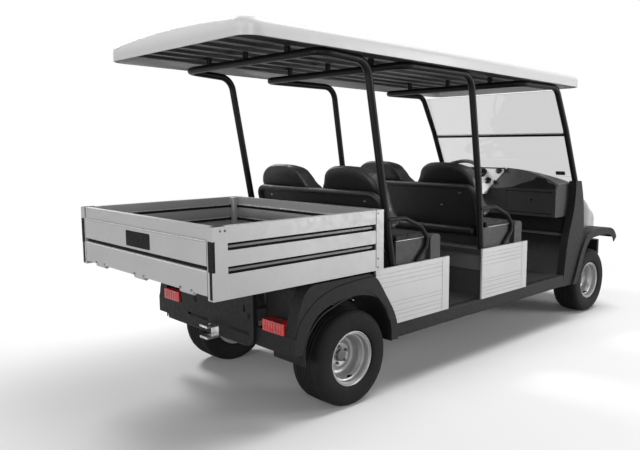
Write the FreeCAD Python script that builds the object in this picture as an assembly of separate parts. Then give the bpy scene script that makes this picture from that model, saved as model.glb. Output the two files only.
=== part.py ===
import FreeCAD, Part
import math
import os

os.makedirs("parts", exist_ok=True)

# A four-seat utility cart with a tipping aluminium load bed and a roof.
# Millimetres. +X is forward, +Y is left, +Z is up, and the wheels stand on Z = 0.
# Stations along X are measured forward from the rear axle. The finished pieces are
# moved by ORIGIN_SHIFT, so that the origin lies under the middle of the cart.

V = FreeCAD.Vector
X, Y, Z = V(1, 0, 0), V(0, 1, 0), V(0, 0, 1)

# Overall layout
WHEELBASE = 2700.0
BODY_HALF_WIDTH = 600.0
BED_REAR = -838.0
BUMPER_AHEAD = 402.0     # names that end in AHEAD are measured forward of the front axle
RUN_GAP = 0.3            # between a moving face and its seat
CUT = 1.0                # how far a cutter stands past the face it cuts
PARALLEL_share = 0.999   # of a unit length along a direction, where an edge counts as parallel to it

# Wheels and tyres
TYRE_RADIUS = 247.0
REAR_TYRE_WIDTH = 210.0
FRONT_TYRE_WIDTH = 200.0
REAR_WHEEL_Y = 500.0
FRONT_WHEEL_Y = 445.0
RIM_FLANGE_RADIUS = 141.0
RIM_SEAT_RADIUS = 127.0
RIM_WELL_RADIUS = 104.0
RIM_WALL = 5.0
RIM_LIP = 6.0
RIM_INSET = 12.0         # from the tyre's side to the rim's lip
RIM_SEAT_WIDTH = 32.0
RIM_WELL_SLOPE = 14.0
DISC_THICK = 6.0
DISC_OFFSET = -14.0      # from the wheel's middle to the disc's edge
DISC_CROWN = 16.0
DISC_CROWN_RADIUS = 66.0
DISC_FLAT_RADIUS = 54.0
HUB_RADIUS = 31.0
HUB_BACK = -20.0
HUB_FRONT = 20.0
CAP_CHAMFER = 8.0
STUB_RADIUS = 15.0
STUB_DEPTH = 34.0
STUB_FIT = 0.05
LUG_COUNT = 5
LUG_CIRCLE = 42.0
LUG_RADIUS = 6.5
LUG_HEIGHT = 12.0
TYRE_SIDE_shares = [(0.895, 0.03), (0.985, 0.27), (1.0, 0.5), (0.972, 0.78), (0.87, 0.94), (0.62, 0.99),
                    (0.2, 1.0)]

# Chassis frame
RAIL_Y = 180.0
RAIL_WIDTH = 50.0
RAIL_HEIGHT = 60.0
FLOOR_TOP = 372.0
FLOOR_THICK = 20.0
KICK_TOP = 480.0
KICK_REAR = 250.0
KICK_FRONT = 420.0
FRAME_AHEAD = 290.0
MEMBER_WIDTH = 40.0
MEMBER_HEIGHT = 44.0
LOW_MEMBER_STATIONS = [560.0, 1120.0, 1600.0]
TOE_MEMBER_AHEAD = -660.0
NOSE_MEMBERS_AHEAD = [-220.0, 200.0]
KICK_MEMBER_STATIONS = [-287.0, 200.0]
SEAT_BAR_HEIGHT = 32.0
REAR_SEAT_BAR = 320.0    # station of the bar that carries the rear posts
MIDDLE_BAR_BEHIND = 25.0   # behind the front seat's base

# Sills and floor
SILL_WIDTH = 40.0
SILL_BOTTOM = 288.0
SILL_REAR = 335.0
TOE_FOOT_AHEAD = -550.0
TOE_TOP_AHEAD = -380.0
TOE_TOP_Z = 640.0
TOE_THICK = 12.0

# Rear axle, springs and drive unit
AXLE_RADIUS = 34.0
AXLE_END_Y = 425.0
DRUM_RADIUS = 86.0
DRUM_WIDTH = 48.0
DRUM_BACK_Y = 428.0
GEAR_CASE_RADIUS = 92.0
GEAR_CASE_WIDTH = 150.0
SPRING_WIDTH = 44.0
SPRING_LEAF = 7.0
SPRING_LEAVES = 3
SPRING_HALF_LENGTH = 300.0
SPRING_CAMBER = 34.0
SPRING_STEP = 70.0
LEAF_STEPS = 8
EYE_RADIUS = 15.0
HANGER_THICK = 34.0
ENGINE_LENGTH = 330.0
ENGINE_HEIGHT = 270.0
ENGINE_REAR = -210.0
ENGINE_BOTTOM = 345.0

# Front axle and steering
KINGPIN_Y = 330.0
KINGPIN_RADIUS = 9.0
KINGPIN_FIT = 0.3
YOKE_LENGTH = 44.0
YOKE_WIDTH = 64.0
YOKE_EAR = 14.0
KNUCKLE_HEIGHT = 62.0
KNUCKLE_SIZE = 36.0
YOKE_GAP = 0.6
BEAM_HEIGHT = 50.0
BEAM_WIDTH = 44.0
BEAM_DROP = 4.0
ARM_LENGTH = 112.0
ARM_WIDTH = 26.0
ARM_THICK = 12.0
TIE_ROD_RADIUS = 9.0
TIE_END_RADIUS = 14.0
TIE_END_HEIGHT = 20.0
TIE_PIN_RADIUS = 5.0
FRONT_DRUM_RADIUS = 70.0
FRONT_DRUM_WIDTH = 14.0
SHOCK_RADIUS = 20.0
SHOCK_FOOT_Y = 236.0
SHOCK_HEAD_Y = 232.0
SHOCK_HEAD_Z = 520.0
TOWER_TOP = 560.0

# Rear body, fenders and lamps
FASCIA_X = -393.0
POD_HALF_WIDTH = 330.0
POD_DEPTH = 24.0
POD_BOTTOM = 332.0
POD_TOP = 640.0
POD_CORNER = 60.0
POD_SLOT_LENGTH = 110.0
POD_SLOT_HEIGHT = 14.0
POD_SLOT_Z = 392.0
POD_EYE_HEIGHT = 34.0
POD_EYE_WIDTH = 12.0
POD_EYE_Z = 500.0
POD_EYE_Y = 250.0
SHELL = 5.0
WING_BOTTOM = 345.0
LEDGE_Z = 436.0
RECESS_DEPTH = 66.0
FENDER_STANDOFF = 20.0   # past the body's side
FENDER_BAND = 70.0
TYRE_ROOM = 7.0          # between the tyre's inner side and the wheelhouse
FENDER_REAR = -393.0
FENDER_LENGTH = 711.0
FENDER_BOTTOM = 288.0
FENDER_HEIGHT = 383.0
FENDER_BACK_shares = [(0.0, 0.17), (0.003, 0.478), (0.035, 0.72), (0.09, 0.925), (0.16, 1.0)]
FENDER_FRONT_shares = [(0.69, 1.0), (0.76, 0.925), (0.852, 0.70), (0.948, 0.43), (1.0, 0.0)]
FENDER_OPEN_shares = [(0.085, 0.0), (0.10, 0.36), (0.165, 0.56), (0.29, 0.69), (0.47, 0.745), (0.66, 0.725),
                      (0.80, 0.62), (0.885, 0.42), (0.925, 0.0)]
FENDER_SKIN = 5.0
LAMP_WIDTH = 160.0
LAMP_HEIGHT = 55.0
LAMP_DEPTH = 64.0
LAMP_MARGIN = 5.0
LAMP_CORNER = 14.0
HITCH_TUBE = 50.0
HITCH_WALL = 5.0
HITCH_LENGTH = 150.0
HITCH_Z = 360.0
CLEVIS_LENGTH = 70.0
CLEVIS_THICK = 12.0
CLEVIS_WIDTH = 70.0
CLEVIS_GAP = 46.0
HITCH_PIN_RADIUS = 9.5

# Load bed
BED_LENGTH = 1021.0
BED_BOTTOM = 685.0
BED_TOP = 990.0
BED_WALL = 35.0
DECK_THICK = 14.0
DECK_RISE = 14.0
DECK_RIB_COUNT = 9
DECK_RIB_WIDTH = 30.0
DECK_RIB_HEIGHT = 6.0
CORNER_POST_LENGTH = 73.0
FRONT_POST_LENGTH = 28.0
PLANK_TOP_HEIGHT = 70.0
SLOT_HEIGHT = 31.0
MID_PLANK_HEIGHT = 67.0
SLOT_DEPTH = 20.0
SLOT_RAIL_HEIGHT = 8.0
SLOT_RAIL_DEPTH = 12.0
CORNER_WIDTH = 42.0
LATCH_TOP_DROP = 59.0
LATCH_HEIGHT = 128.0
LATCH_WIDTH = 34.0
LATCH_DEPTH = 16.0
LATCH_PROUD = 3.0
TAILGATE_GAP = 5.0
CREASE_DROP = 59.0
CREASE_DEPTH = 6.0
GATE_SLOT_DROP = 163.0
GATE_SLOT_HEIGHT = 18.0
GATE_SLOT_DEPTH = 16.0
GATE_HINGE_RISE = 12.0
GATE_HINGE_INSET = 12.0
GATE_BARREL_RADIUS = 11.0
GATE_PIN_RADIUS = 5.0
GATE_BARREL_LENGTH = 70.0
GATE_LUG_LENGTH = 16.0
GATE_HINGE_YS = [-420.0, 0.0, 420.0]
BED_CHANNEL_WIDTH = 40.0
BED_CHANNEL_HEIGHT = 45.0
BED_CHANNEL_FRONT = 150.0
BED_PIVOT_X = -350.0
BED_PIVOT_DROP = 23.0
BED_CHANNEL_OVERHANG = 36.0
PIVOT_RADIUS = 10.0
PIVOT_PLATE = 10.0
PIVOT_GAP = 7.0
PIVOT_EAR_RADIUS = 22.0
REST_STATION = 110.0
BED_BEARER_STATIONS = [-700.0, -180.0]
BED_BEARER_WIDTH = 50.0

# Roof
ROOF_REAR = -650.0
ROOF_AHEAD = -450.0
ROOF_OVERHANG = 33.0
ROOF_LIP_REAR = 1766.0
ROOF_LIP_FRONT = 1698.0
ROOF_SKIRT = 74.0
ROOF_CROWN = 34.0
ROOF_CORNER = 90.0
ROOF_EDGE = 34.0
ROOF_SKIN = 7.0
LINER_SKIN = 6.0
LINER_DROP = 44.0
LINER_RIBS = 8
LINER_RIB_WIDTH = 26.0
LINER_RIB_HEIGHT = 14.0
LINER_MARGIN = 34.0

# Roof hoops and windscreen
POST_INSET = 25.0
POST_RADIUS = 20.0
POST_BEND = 95.0
POST_GENTLE_BEND = 285.0
HOOP_CORNER = 60.0
TAB_WIDTH = 22.0
TAB_YS = [-340.0, 0.0, 340.0]
# A hoop's foot and middle are (station, height), its shoulder and bar (station, drop below the roof's lip).
# The middle hoop's stations are measured back from the front seat's base.
REAR_HOOP = [(320.0, 650.0), (268.0, 940.0), (118.0, 26.0), (-190.0, 11.0)]
MIDDLE_HOOP_BEHIND = [(25.0, 672.0), (60.0, 1050.0), (165.0, 15.4), (760.0, 19.4)]
FRONT_HOOP_AHEAD = [(-382.0, 1040.0), (-550.0, 1410.0), (-705.0, 14.0), (-1150.0, 20.4)]
SCREEN_INSET = 13.0
SCREEN_THICK = 5.0
SCREEN_FOOT_AHEAD = (-382.0, 1072.0)
SCREEN_SPLIT_share = 0.5
SCREEN_TOP_AHEAD = (-668.0, 31.0)
SPLIT_RAIL_HEIGHT = 16.0
SPLIT_RAIL_THICK = 14.0

# Seats
SEAT_BASE_TOP = 680.0
REAR_BASE_REAR = 345.0
REAR_BASE_FRONT = 705.0
FRONT_SEAT_share = 0.228  # of the way from the rear seat's front to the front axle
FRONT_BASE_LENGTH = 425.0
BASE_SHEET = 6.0
PAN_HEIGHT = 56.0        # of the seat pan on the base, under the cushion
PAN_INSET = 20.0
CUSHION_TOP = 820.0
CUSHION_MARGIN = 38.0
CUSHION_EDGE = 22.0
CUSHION_NOSE = 34.0
ROLL_LENGTH = 86.0       # of the roll along the cushion's front edge
SEAM_WIDTH = 6.0
SEAM_DEPTH = 22.0
SEAT_LEAN = 20.0
REAR_BACK_INSET = 27.0   # from the seat base's rear to the foot of its back
FRONT_BACK_INSET = 76.0
BACK_FOOT = 826.0
BACK_LENGTH = 388.0      # along the lean, from the foot to the top of the hump
BACK_GAP = 4.0
BACK_HALF_WIDTH = 500.0
BACK_THICK = 90.0
# The pad's top edge from the middle of the cart outwards: a level shoulder, the hump, and its steep side.
BACK_TOP_shares = [(0.0, 0.70), (0.09, 0.70), (0.153, 0.755), (0.204, 0.885), (0.335, 0.965), (0.552, 1.0),
                   (0.77, 0.965), (0.90, 0.86), (0.966, 0.76), (1.0, 0.66)]
# The pad's front face from its foot up to where it curls over to the top.
BACK_SIDE_shares = [(0.92, 0.0), (1.0, 0.22), (0.99, 0.6), (0.86, 0.82), (0.62, 0.94), (0.3, 1.01)]
FRAME_HALF_WIDTH = 532.0
FRAME_LENGTH = 257.0     # along the lean, from the foot to the frame's top
FRAME_TUBE_RADIUS = 17.0
FRAME_TUBE_BEND = 63.0
FRAME_KNEE_BEND = 120.0
BACK_PANEL_THICK = 14.0
BACK_PANEL_DROP = 28.0   # of the panel's lower edge below the foot, along the lean
ARM_RADIUS = 12.0
# The armrest's loop after its start at the post, as (distance ahead of the back's foot, height above base).
ARM_START_HEIGHT = 246.0
ARM_LOOP = [(25.0, 246.0), (165.0, 190.0), (224.0, 120.0), (212.0, 72.0), (130.0, 0.0)]
ARM_BENDS = [90.0, 90.0, 60.0, 45.0]
HIP_HEIGHT = 122.0
HIP_LENGTH = 220.0       # of the low part of the hip plate, ahead of the back's foot
HIP_POST_LENGTH = 86.0
HIP_POST_HEIGHT = 137.0
HIP_POST_CORNER = 26.0
HIP_STEP_GAP = 6.0       # between the post and the armrest's loop
PANEL_THICK = 12.0
PANEL_TRIM = 64.0
PANEL_GROOVE = 3.0
PANEL_GROOVE_DEPTH = 2.5
PANEL_FRONT_REACH = 64.0
MIDDLE_PANEL_REACH = 32.0
PANEL_REAR_REACH = 183.0
MIDDLE_PANEL_BEHIND = 58.0
PANEL_GROOVE_shares = [0.071, 0.149, 0.218, 0.321, 0.386, 0.672, 0.75, 0.831, 0.903]

# Dashboard, screen pillars and controls
PILLAR_WIDTH = 55.0
PILLAR_AHEAD = -556.0
PILLAR_LENGTH = 290.0
PILLAR_BOTTOM = 288.0
PILLAR_HEIGHT = 752.0
PILLAR_BACK_shares = [(0.0, 0.0), (0.08, 0.19), (0.22, 0.48), (0.42, 0.70), (0.50, 0.86), (0.50, 1.0)]
PILLAR_FRONT_shares = [(0.78, 1.0), (0.93, 0.80), (1.0, 0.42), (0.86, 0.12), (0.50, 0.0)]
DASH_REAR_AHEAD = -600.0
DASH_FRONT_AHEAD = -370.0
DASH_BOTTOM = 786.0
DASH_LIP = 978.0
DASH_TOP = 1040.0
DASH_CROWN = 1130.0      # the top's height at its middle
DASH_SIDE_TOP = 1020.0
DASH_RIDGE = 118.0       # from the dash's rear face to its ridge
GLOVE_INNER_Y = 140.0
GLOVE_MARGIN = 33.0
GLOVE_BOTTOM = 806.0
GLOVE_TOP = 966.0
GLOVE_DEPTH = 150.0
GLOVE_DOOR_THICK = 14.0
GLOVE_GAP = 5.0
GLOVE_PIN_RADIUS = 3.0
GLOVE_PIN_INSET = 4.5
GLOVE_PIN_DEPTH = 8.0
PANEL_Y0 = -86.0
PANEL_Y1 = 330.0
PANEL_DROP = 48.0        # below the dash's lip
PANEL_REACH = 40.0
PANEL_RISE = 12.0        # of the panel's face above the dash's
PANEL_SLANT = 110.0      # how far the panel's right edge leans
WHEEL_Y = 280.0
STEER_AHEAD = -670.0
STEER_Z = 1080.0
STEER_RADIUS = 178.0
STEER_GRIP = 14.0
STEER_TILT = 32.0
STEER_HUB_RADIUS = 46.0
STEER_HUB_HEIGHT = 34.0
STEER_SPOKE = 11.0
STEER_SPOKES = 3
STEER_DISH = 30.0
COLUMN_RADIUS = 26.0
COLUMN_GAP = 5.0
SHAFT_RADIUS = 9.0
SHAFT_DEPTH = 60.0
COLUMN_LENGTH = 420.0
PEDAL_YS = [190.0, 300.0]
PEDAL_WIDTH = 76.0
PEDAL_HEIGHT = 110.0
PEDAL_THICK = 10.0
PEDAL_BEHIND = 104.0     # behind the toe board's foot
PEDAL_RISE = 34.0        # above the floor
PEDAL_CORNER = 14.0
PEDAL_LEAN = 20.0
PEDAL_STEM_RADIUS = 8.0

# Nose
NOSE_AHEAD = -358.0
NOSE_SKIN = 6.0
NOSE_STATION_shares = [0.0, 0.3, 0.6, 0.85, 0.96, 1.0]
NOSE_INSET = 9.0
NOSE_WIDTH_shares = [1.0, 0.965, 0.90, 0.80, 0.73, 0.66]
NOSE_TOPS = [1062.0, 985.0, 890.0, 806.0, 762.0, 722.0]
NOSE_BOTTOM = 622.0
NOSE_LENGTH = 722.0
NOSE_CORNER_share = 0.42
NOSE_CROWN = 16.0
BUMPER_BOTTOM = 400.0
BUMPER_TOP = 520.0
BUMPER_HALF_WIDTH = 430.0
BUMPER_DEPTH = 60.0
BUMPER_CORNER = 40.0
FASCIA_HALF_WIDTH = 330.0  # of the plate that closes the gap between the bumper and the nose
FASCIA_THICK = 5.0
FASCIA_CORNER = 24.0
HEADLAMP_Y = 290.0
HEADLAMP_WIDTH = 120.0
HEADLAMP_HEIGHT = 56.0
HEADLAMP_Z = 672.0
HEADLAMP_DEPTH = 40.0
GUARD_STANDOFF = 15.0
GUARD_INNER_Y = 372.0
GUARD_AHEAD = -430.0
GUARD_LENGTH = 700.0
GUARD_BOTTOM = 288.0
GUARD_HEIGHT = 372.0
GUARD_OUTER_shares = [(0.0, 0.0), (0.10, 0.36), (0.235, 0.80), (0.33, 0.95), (0.46, 1.0), (0.78, 1.0),
                      (0.93, 0.92), (1.0, 0.76)]
GUARD_LIP = 54.0
GUARD_SKIN = 6.0

# Places that follow from the sizes above
BUMPER_FRONT = WHEELBASE + BUMPER_AHEAD
ORIGIN_SHIFT = -(BED_REAR + BUMPER_FRONT) / 2
FRAME_FRONT = WHEELBASE + FRAME_AHEAD
LOW_MEMBERS = LOW_MEMBER_STATIONS + [WHEELBASE + TOE_MEMBER_AHEAD]
NOSE_MEMBERS = [WHEELBASE + ahead for ahead in NOSE_MEMBERS_AHEAD]
TOE_FOOT = WHEELBASE + TOE_FOOT_AHEAD
TOE_TOP = WHEELBASE + TOE_TOP_AHEAD
SILL_INNER_Y = BODY_HALF_WIDTH - SILL_WIDTH
FENDER_Y = BODY_HALF_WIDTH + FENDER_STANDOFF
FENDER_INNER_Y = FENDER_Y - FENDER_BAND
WHEELHOUSE_INNER_Y = REAR_WHEEL_Y - REAR_TYRE_WIDTH / 2 - TYRE_ROOM
LAMP_INNER_Y = FENDER_INNER_Y - LAMP_MARGIN - LAMP_WIDTH
BED_HALF_WIDTH = BODY_HALF_WIDTH + BED_WALL
BED_PIVOT_Z = BED_BOTTOM - BED_PIVOT_DROP
GATE_HINGE_Z = BED_BOTTOM + GATE_HINGE_RISE
ROOF_FRONT = WHEELBASE + ROOF_AHEAD
ROOF_HALF_WIDTH = BODY_HALF_WIDTH + ROOF_OVERHANG
POST_Y = BODY_HALF_WIDTH - POST_INSET
FRONT_BASE_REAR = REAR_BASE_FRONT + FRONT_SEAT_share * (WHEELBASE - REAR_BASE_FRONT)
FRONT_BASE_FRONT = FRONT_BASE_REAR + FRONT_BASE_LENGTH
REAR_BACK_X = REAR_BASE_REAR + REAR_BACK_INSET
FRONT_BACK_X = FRONT_BASE_REAR + FRONT_BACK_INSET
MIDDLE_SEAT_BAR = FRONT_BASE_REAR - MIDDLE_BAR_BEHIND
MIDDLE_PANEL_REAR = FRONT_BASE_REAR - MIDDLE_PANEL_BEHIND
MIDDLE_HOOP = [(FRONT_BASE_REAR - behind, height) for behind, height in MIDDLE_HOOP_BEHIND]
FRONT_HOOP = [(WHEELBASE + ahead, height) for ahead, height in FRONT_HOOP_AHEAD]
SCREEN_HALF_WIDTH = POST_Y - SCREEN_INSET
SCREEN_FOOT_X, SCREEN_FOOT_Z = WHEELBASE + SCREEN_FOOT_AHEAD[0], SCREEN_FOOT_AHEAD[1]
SCREEN_TOP_X, SCREEN_TOP_DROP = WHEELBASE + SCREEN_TOP_AHEAD[0], SCREEN_TOP_AHEAD[1]
CUSHION_HALF_WIDTH = BODY_HALF_WIDTH - CUSHION_MARGIN
ARM_Y = BODY_HALF_WIDTH - ARM_RADIUS
PILLAR_INNER_Y = BODY_HALF_WIDTH - PILLAR_WIDTH
PILLAR_REAR = WHEELBASE + PILLAR_AHEAD
DASH_REAR = WHEELBASE + DASH_REAR_AHEAD
DASH_FRONT = WHEELBASE + DASH_FRONT_AHEAD
GLOVE_OUTER_Y = PILLAR_INNER_Y - GLOVE_MARGIN
STEER_X = WHEELBASE + STEER_AHEAD
NOSE_X0 = WHEELBASE + NOSE_AHEAD
NOSE_HALF_WIDTH = PILLAR_INNER_Y - NOSE_INSET
GUARD_Y = BODY_HALF_WIDTH + GUARD_STANDOFF
GUARD_REAR = WHEELBASE + GUARD_AHEAD


# Shape helpers

def box(x0, x1, y0, y1, z0, z1):
    return Part.makeBox(x1 - x0, y1 - y0, z1 - z0, V(x0, y0, z0))


def mirrored(shape):
    return shape.mirror(V(), Y)


def pair(shape):
    return [shape, mirrored(shape)]


def fused(shapes):
    body = shapes[0]
    for other in shapes[1:]:
        body = body.fuse(other)
    return body.removeSplitter()


def face_through(points):
    return Part.Face(Part.makePolygon(points + points[:1]))


def slab_y(outline, y0, y1):
    return face_through([V(x, y0, z) for x, z in outline]).extrude(V(0, y1 - y0, 0))


def slab_x(outline, x0, x1):
    return face_through([V(x0, y, z) for y, z in outline]).extrude(V(x1 - x0, 0, 0))


def rod(start, end, radius):
    return Part.makeCylinder(radius, (end - start).Length, start, end - start)


def spun(profile, centre):
    """A ring turned about the Y axis through centre, from points (across, radius)."""
    points = [centre + V(0, across, radius) for across, radius in profile]
    return face_through(points).revolve(centre, Y, 360)


def placed(shares, x0, length, z0, height):
    return [(x0 + a * length, z0 + b * height) for a, b in shares]


def smooth_face(runs):
    """A face bounded by smooth runs of points, with a straight edge from each run to the next."""
    edges = []
    for run, following in zip(runs, runs[1:] + runs[:1]):
        if len(run) > 1:
            curve = Part.BSplineCurve()
            curve.interpolate(run)
            edges.append(curve.toShape())
        edges.append(Part.LineSegment(run[-1], following[0]).toShape())
    return Part.Face(Part.Wire(edges))


def ribbon(points, width):
    """The two edges of a strip that lies below a run of points, or above it where the width is negative."""
    lower = []
    for before, point, after in zip(points[:1] + points, points, points[1:] + points[-1:]):
        run = (after[0] - before[0], after[1] - before[1])
        reach = width / math.hypot(*run)
        lower.append((point[0] + run[1] * reach, point[1] - run[0] * reach))
    return points, lower[::-1]


def softened(shape, radius, chosen):
    edges = [edge for edge in shape.Edges if chosen(edge)]
    return shape.makeFillet(radius, edges)


def along(direction):
    """Picks the straight edges that run along a direction."""
    def chosen(edge):
        if edge.Curve.TypeId != "Part::GeomLine":
            return False
        return abs(edge.tangentAt(edge.FirstParameter).dot(direction)) > PARALLEL_share
    return chosen


def rounded_rectangle(x0, x1, y0, y1, z, radius):
    """A closed wire in a level plane with arcs at its corners."""
    quarter = radius * (1 - math.sqrt(0.5))
    edges = [
        Part.LineSegment(V(x0 + radius, y0, z), V(x1 - radius, y0, z)).toShape(),
        Part.Arc(V(x1 - radius, y0, z), V(x1 - quarter, y0 + quarter, z), V(x1, y0 + radius, z)).toShape(),
        Part.LineSegment(V(x1, y0 + radius, z), V(x1, y1 - radius, z)).toShape(),
        Part.Arc(V(x1, y1 - radius, z), V(x1 - quarter, y1 - quarter, z), V(x1 - radius, y1, z)).toShape(),
        Part.LineSegment(V(x1 - radius, y1, z), V(x0 + radius, y1, z)).toShape(),
        Part.Arc(V(x0 + radius, y1, z), V(x0 + quarter, y1 - quarter, z), V(x0, y1 - radius, z)).toShape(),
        Part.LineSegment(V(x0, y1 - radius, z), V(x0, y0 + radius, z)).toShape(),
        Part.Arc(V(x0, y0 + radius, z), V(x0 + quarter, y0 + quarter, z), V(x0 + radius, y0, z)).toShape(),
    ]
    return Part.Wire(edges)


def route(points, radii):
    """Straight runs joined by tangent arcs, one radius for each inner point."""
    edges = []
    start = points[0]
    for before, corner, after, radius in zip(points, points[1:], points[2:], radii):
        toward = (before - corner).normalize()
        onward = (after - corner).normalize()
        half = math.acos(max(-1.0, min(1.0, toward.dot(onward)))) / 2
        reach = radius / math.tan(half)
        middle = corner + (toward + onward).normalize() * (radius / math.sin(half) - radius)
        edges.append(Part.LineSegment(start, corner + toward * reach).toShape())
        edges.append(Part.Arc(corner + toward * reach, middle, corner + onward * reach).toShape())
        start = corner + onward * reach
    edges.append(Part.LineSegment(start, points[-1]).toShape())
    return Part.Wire(edges)


def tube(points, radii, radius):
    path = route(points, radii)
    ring = Part.Wire(Part.makeCircle(radius, points[0], points[1] - points[0]))
    return path.makePipeShell([ring], True, False)


# Wheels

def tyre(width, centre):
    half = width / 2
    seat = half - RIM_INSET - RIM_LIP - RUN_GAP
    rise = TYRE_RADIUS - RIM_FLANGE_RADIUS
    side = [(half * a, RIM_FLANGE_RADIUS + rise * b) for a, b in TYRE_SIDE_shares]
    inner = [(seat, RIM_SEAT_RADIUS + RUN_GAP), (seat, RIM_FLANGE_RADIUS + RUN_GAP)]
    right = inner + side
    left = [(-a, r) for a, r in reversed(right)]
    return spun(right + left, centre)


def rim(width, centre):
    half = width / 2 - RIM_INSET
    seat = half - RIM_LIP
    well = seat - RIM_SEAT_WIDTH
    floor = well - RIM_WELL_SLOPE
    outside = [(half, RIM_FLANGE_RADIUS), (seat, RIM_FLANGE_RADIUS), (seat, RIM_SEAT_RADIUS),
               (well, RIM_SEAT_RADIUS), (floor, RIM_WELL_RADIUS)]
    inside = [(floor, RIM_WELL_RADIUS - RIM_WALL), (well, RIM_SEAT_RADIUS - RIM_WALL),
              (half, RIM_SEAT_RADIUS - RIM_WALL)]
    ring = outside + [(-a, r) for a, r in reversed(outside)] + [(-a, r) for a, r in reversed(inside)] + inside
    barrel = spun(ring, centre)
    back = DISC_OFFSET
    crown = DISC_OFFSET + DISC_CROWN
    disc = spun([(back, RIM_WELL_RADIUS - RIM_WALL / 2), (back, DISC_CROWN_RADIUS + DISC_CROWN),
                 (crown, DISC_CROWN_RADIUS), (crown, DISC_FLAT_RADIUS),
                 (crown - DISC_THICK, DISC_FLAT_RADIUS - DISC_THICK), (crown - DISC_THICK, 0),
                 (crown, 0), (crown, DISC_FLAT_RADIUS - DISC_THICK),
                 (crown + DISC_THICK, DISC_FLAT_RADIUS), (crown + DISC_THICK, DISC_CROWN_RADIUS),
                 (back + DISC_THICK, DISC_CROWN_RADIUS + DISC_CROWN + DISC_THICK),
                 (back + DISC_THICK, RIM_WELL_RADIUS - RIM_WALL / 2)], centre)
    bore_end = HUB_BACK + STUB_DEPTH + RUN_GAP
    bore_radius = STUB_RADIUS + STUB_FIT
    hub = spun([(HUB_BACK, bore_radius), (HUB_BACK, HUB_RADIUS), (HUB_FRONT - CAP_CHAMFER, HUB_RADIUS),
                (HUB_FRONT, HUB_RADIUS - CAP_CHAMFER), (HUB_FRONT, 0), (bore_end, 0),
                (bore_end, bore_radius)], centre)
    lugs = []
    for index in range(LUG_COUNT):
        angle = 2 * math.pi * index / LUG_COUNT
        foot = centre + V(LUG_CIRCLE * math.cos(angle), crown - DISC_THICK, LUG_CIRCLE * math.sin(angle))
        lugs.append(rod(foot, foot + V(0, LUG_HEIGHT, 0), LUG_RADIUS))
    stub_hole = rod(centre + V(0, HUB_BACK - CUT, 0), centre + V(0, bore_end, 0), bore_radius)
    return fused([barrel, disc, hub] + lugs).cut(stub_hole)


def wheel_set():
    rear = V(0, REAR_WHEEL_Y, TYRE_RADIUS)
    front = V(WHEELBASE, FRONT_WHEEL_Y, TYRE_RADIUS)
    made = {}
    for place, width, centre in (("rear", REAR_TYRE_WIDTH, rear), ("front", FRONT_TYRE_WIDTH, front)):
        left_tyre, left_rim = tyre(width, centre), rim(width, centre)
        made["tyre_%s_left" % place] = [left_tyre]
        made["tyre_%s_right" % place] = [mirrored(left_tyre)]
        made["rim_%s_left" % place] = [left_rim]
        made["rim_%s_right" % place] = [mirrored(left_rim)]
    return made


# Chassis

RAIL_TOP = FLOOR_TOP - FLOOR_THICK
RAIL_BOTTOM = RAIL_TOP - RAIL_HEIGHT
KICK_BOTTOM = KICK_TOP - RAIL_HEIGHT
RAIL_INNER = RAIL_Y - RAIL_WIDTH / 2
FRAME_REAR = FASCIA_X - POD_DEPTH + SHELL
RAIL_OUTER = RAIL_Y + RAIL_WIDTH / 2
CHANNEL_BOTTOM = BED_BOTTOM - BED_CHANNEL_HEIGHT
SPRING_EYE_Z = TYRE_RADIUS + AXLE_RADIUS + SPRING_CAMBER + SPRING_LEAF / 2


def frame_rails():
    profile = [(FRAME_REAR, KICK_BOTTOM), (KICK_REAR, KICK_BOTTOM), (KICK_FRONT, RAIL_BOTTOM),
               (FRAME_FRONT, RAIL_BOTTOM), (FRAME_FRONT, RAIL_TOP), (KICK_FRONT + RAIL_HEIGHT / 2, RAIL_TOP),
               (KICK_REAR + RAIL_HEIGHT / 2, KICK_TOP), (FRAME_REAR, KICK_TOP)]
    return pair(slab_y(profile, RAIL_INNER, RAIL_OUTER))


def across(station, y0, y1, top, height):
    """A bar of the frame that lies across the cart."""
    half = MEMBER_WIDTH / 2
    return box(station - half, station + half, y0, y1, top - height, top)


def frame_members():
    """Bars between the rails, and outriggers from the rails to the sills."""
    members = []
    for station in LOW_MEMBERS + NOSE_MEMBERS:
        members.append(across(station, -RAIL_INNER, RAIL_INNER, RAIL_TOP, MEMBER_HEIGHT))
    for station in KICK_MEMBER_STATIONS:
        members.append(across(station, -RAIL_INNER, RAIL_INNER, KICK_TOP, MEMBER_HEIGHT))
    for station in LOW_MEMBERS:
        members += pair(across(station, RAIL_OUTER, SILL_INNER_Y, RAIL_TOP, MEMBER_HEIGHT))
    return members


def seat_bars():
    """The two bars that carry the seats and the roof's posts, each on a pair of legs."""
    bars = []
    for station, top, foot in ((REAR_SEAT_BAR, REAR_HOOP[0][1], KICK_BOTTOM),
                               (MIDDLE_SEAT_BAR, MIDDLE_HOOP[0][1], RAIL_TOP)):
        bar = across(station, -BODY_HALF_WIDTH, BODY_HALF_WIDTH, top, SEAT_BAR_HEIGHT)
        legs = pair(across(station, RAIL_INNER, RAIL_OUTER, top, top - foot))
        bars.append(fused([bar] + legs))
    return bars


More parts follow.
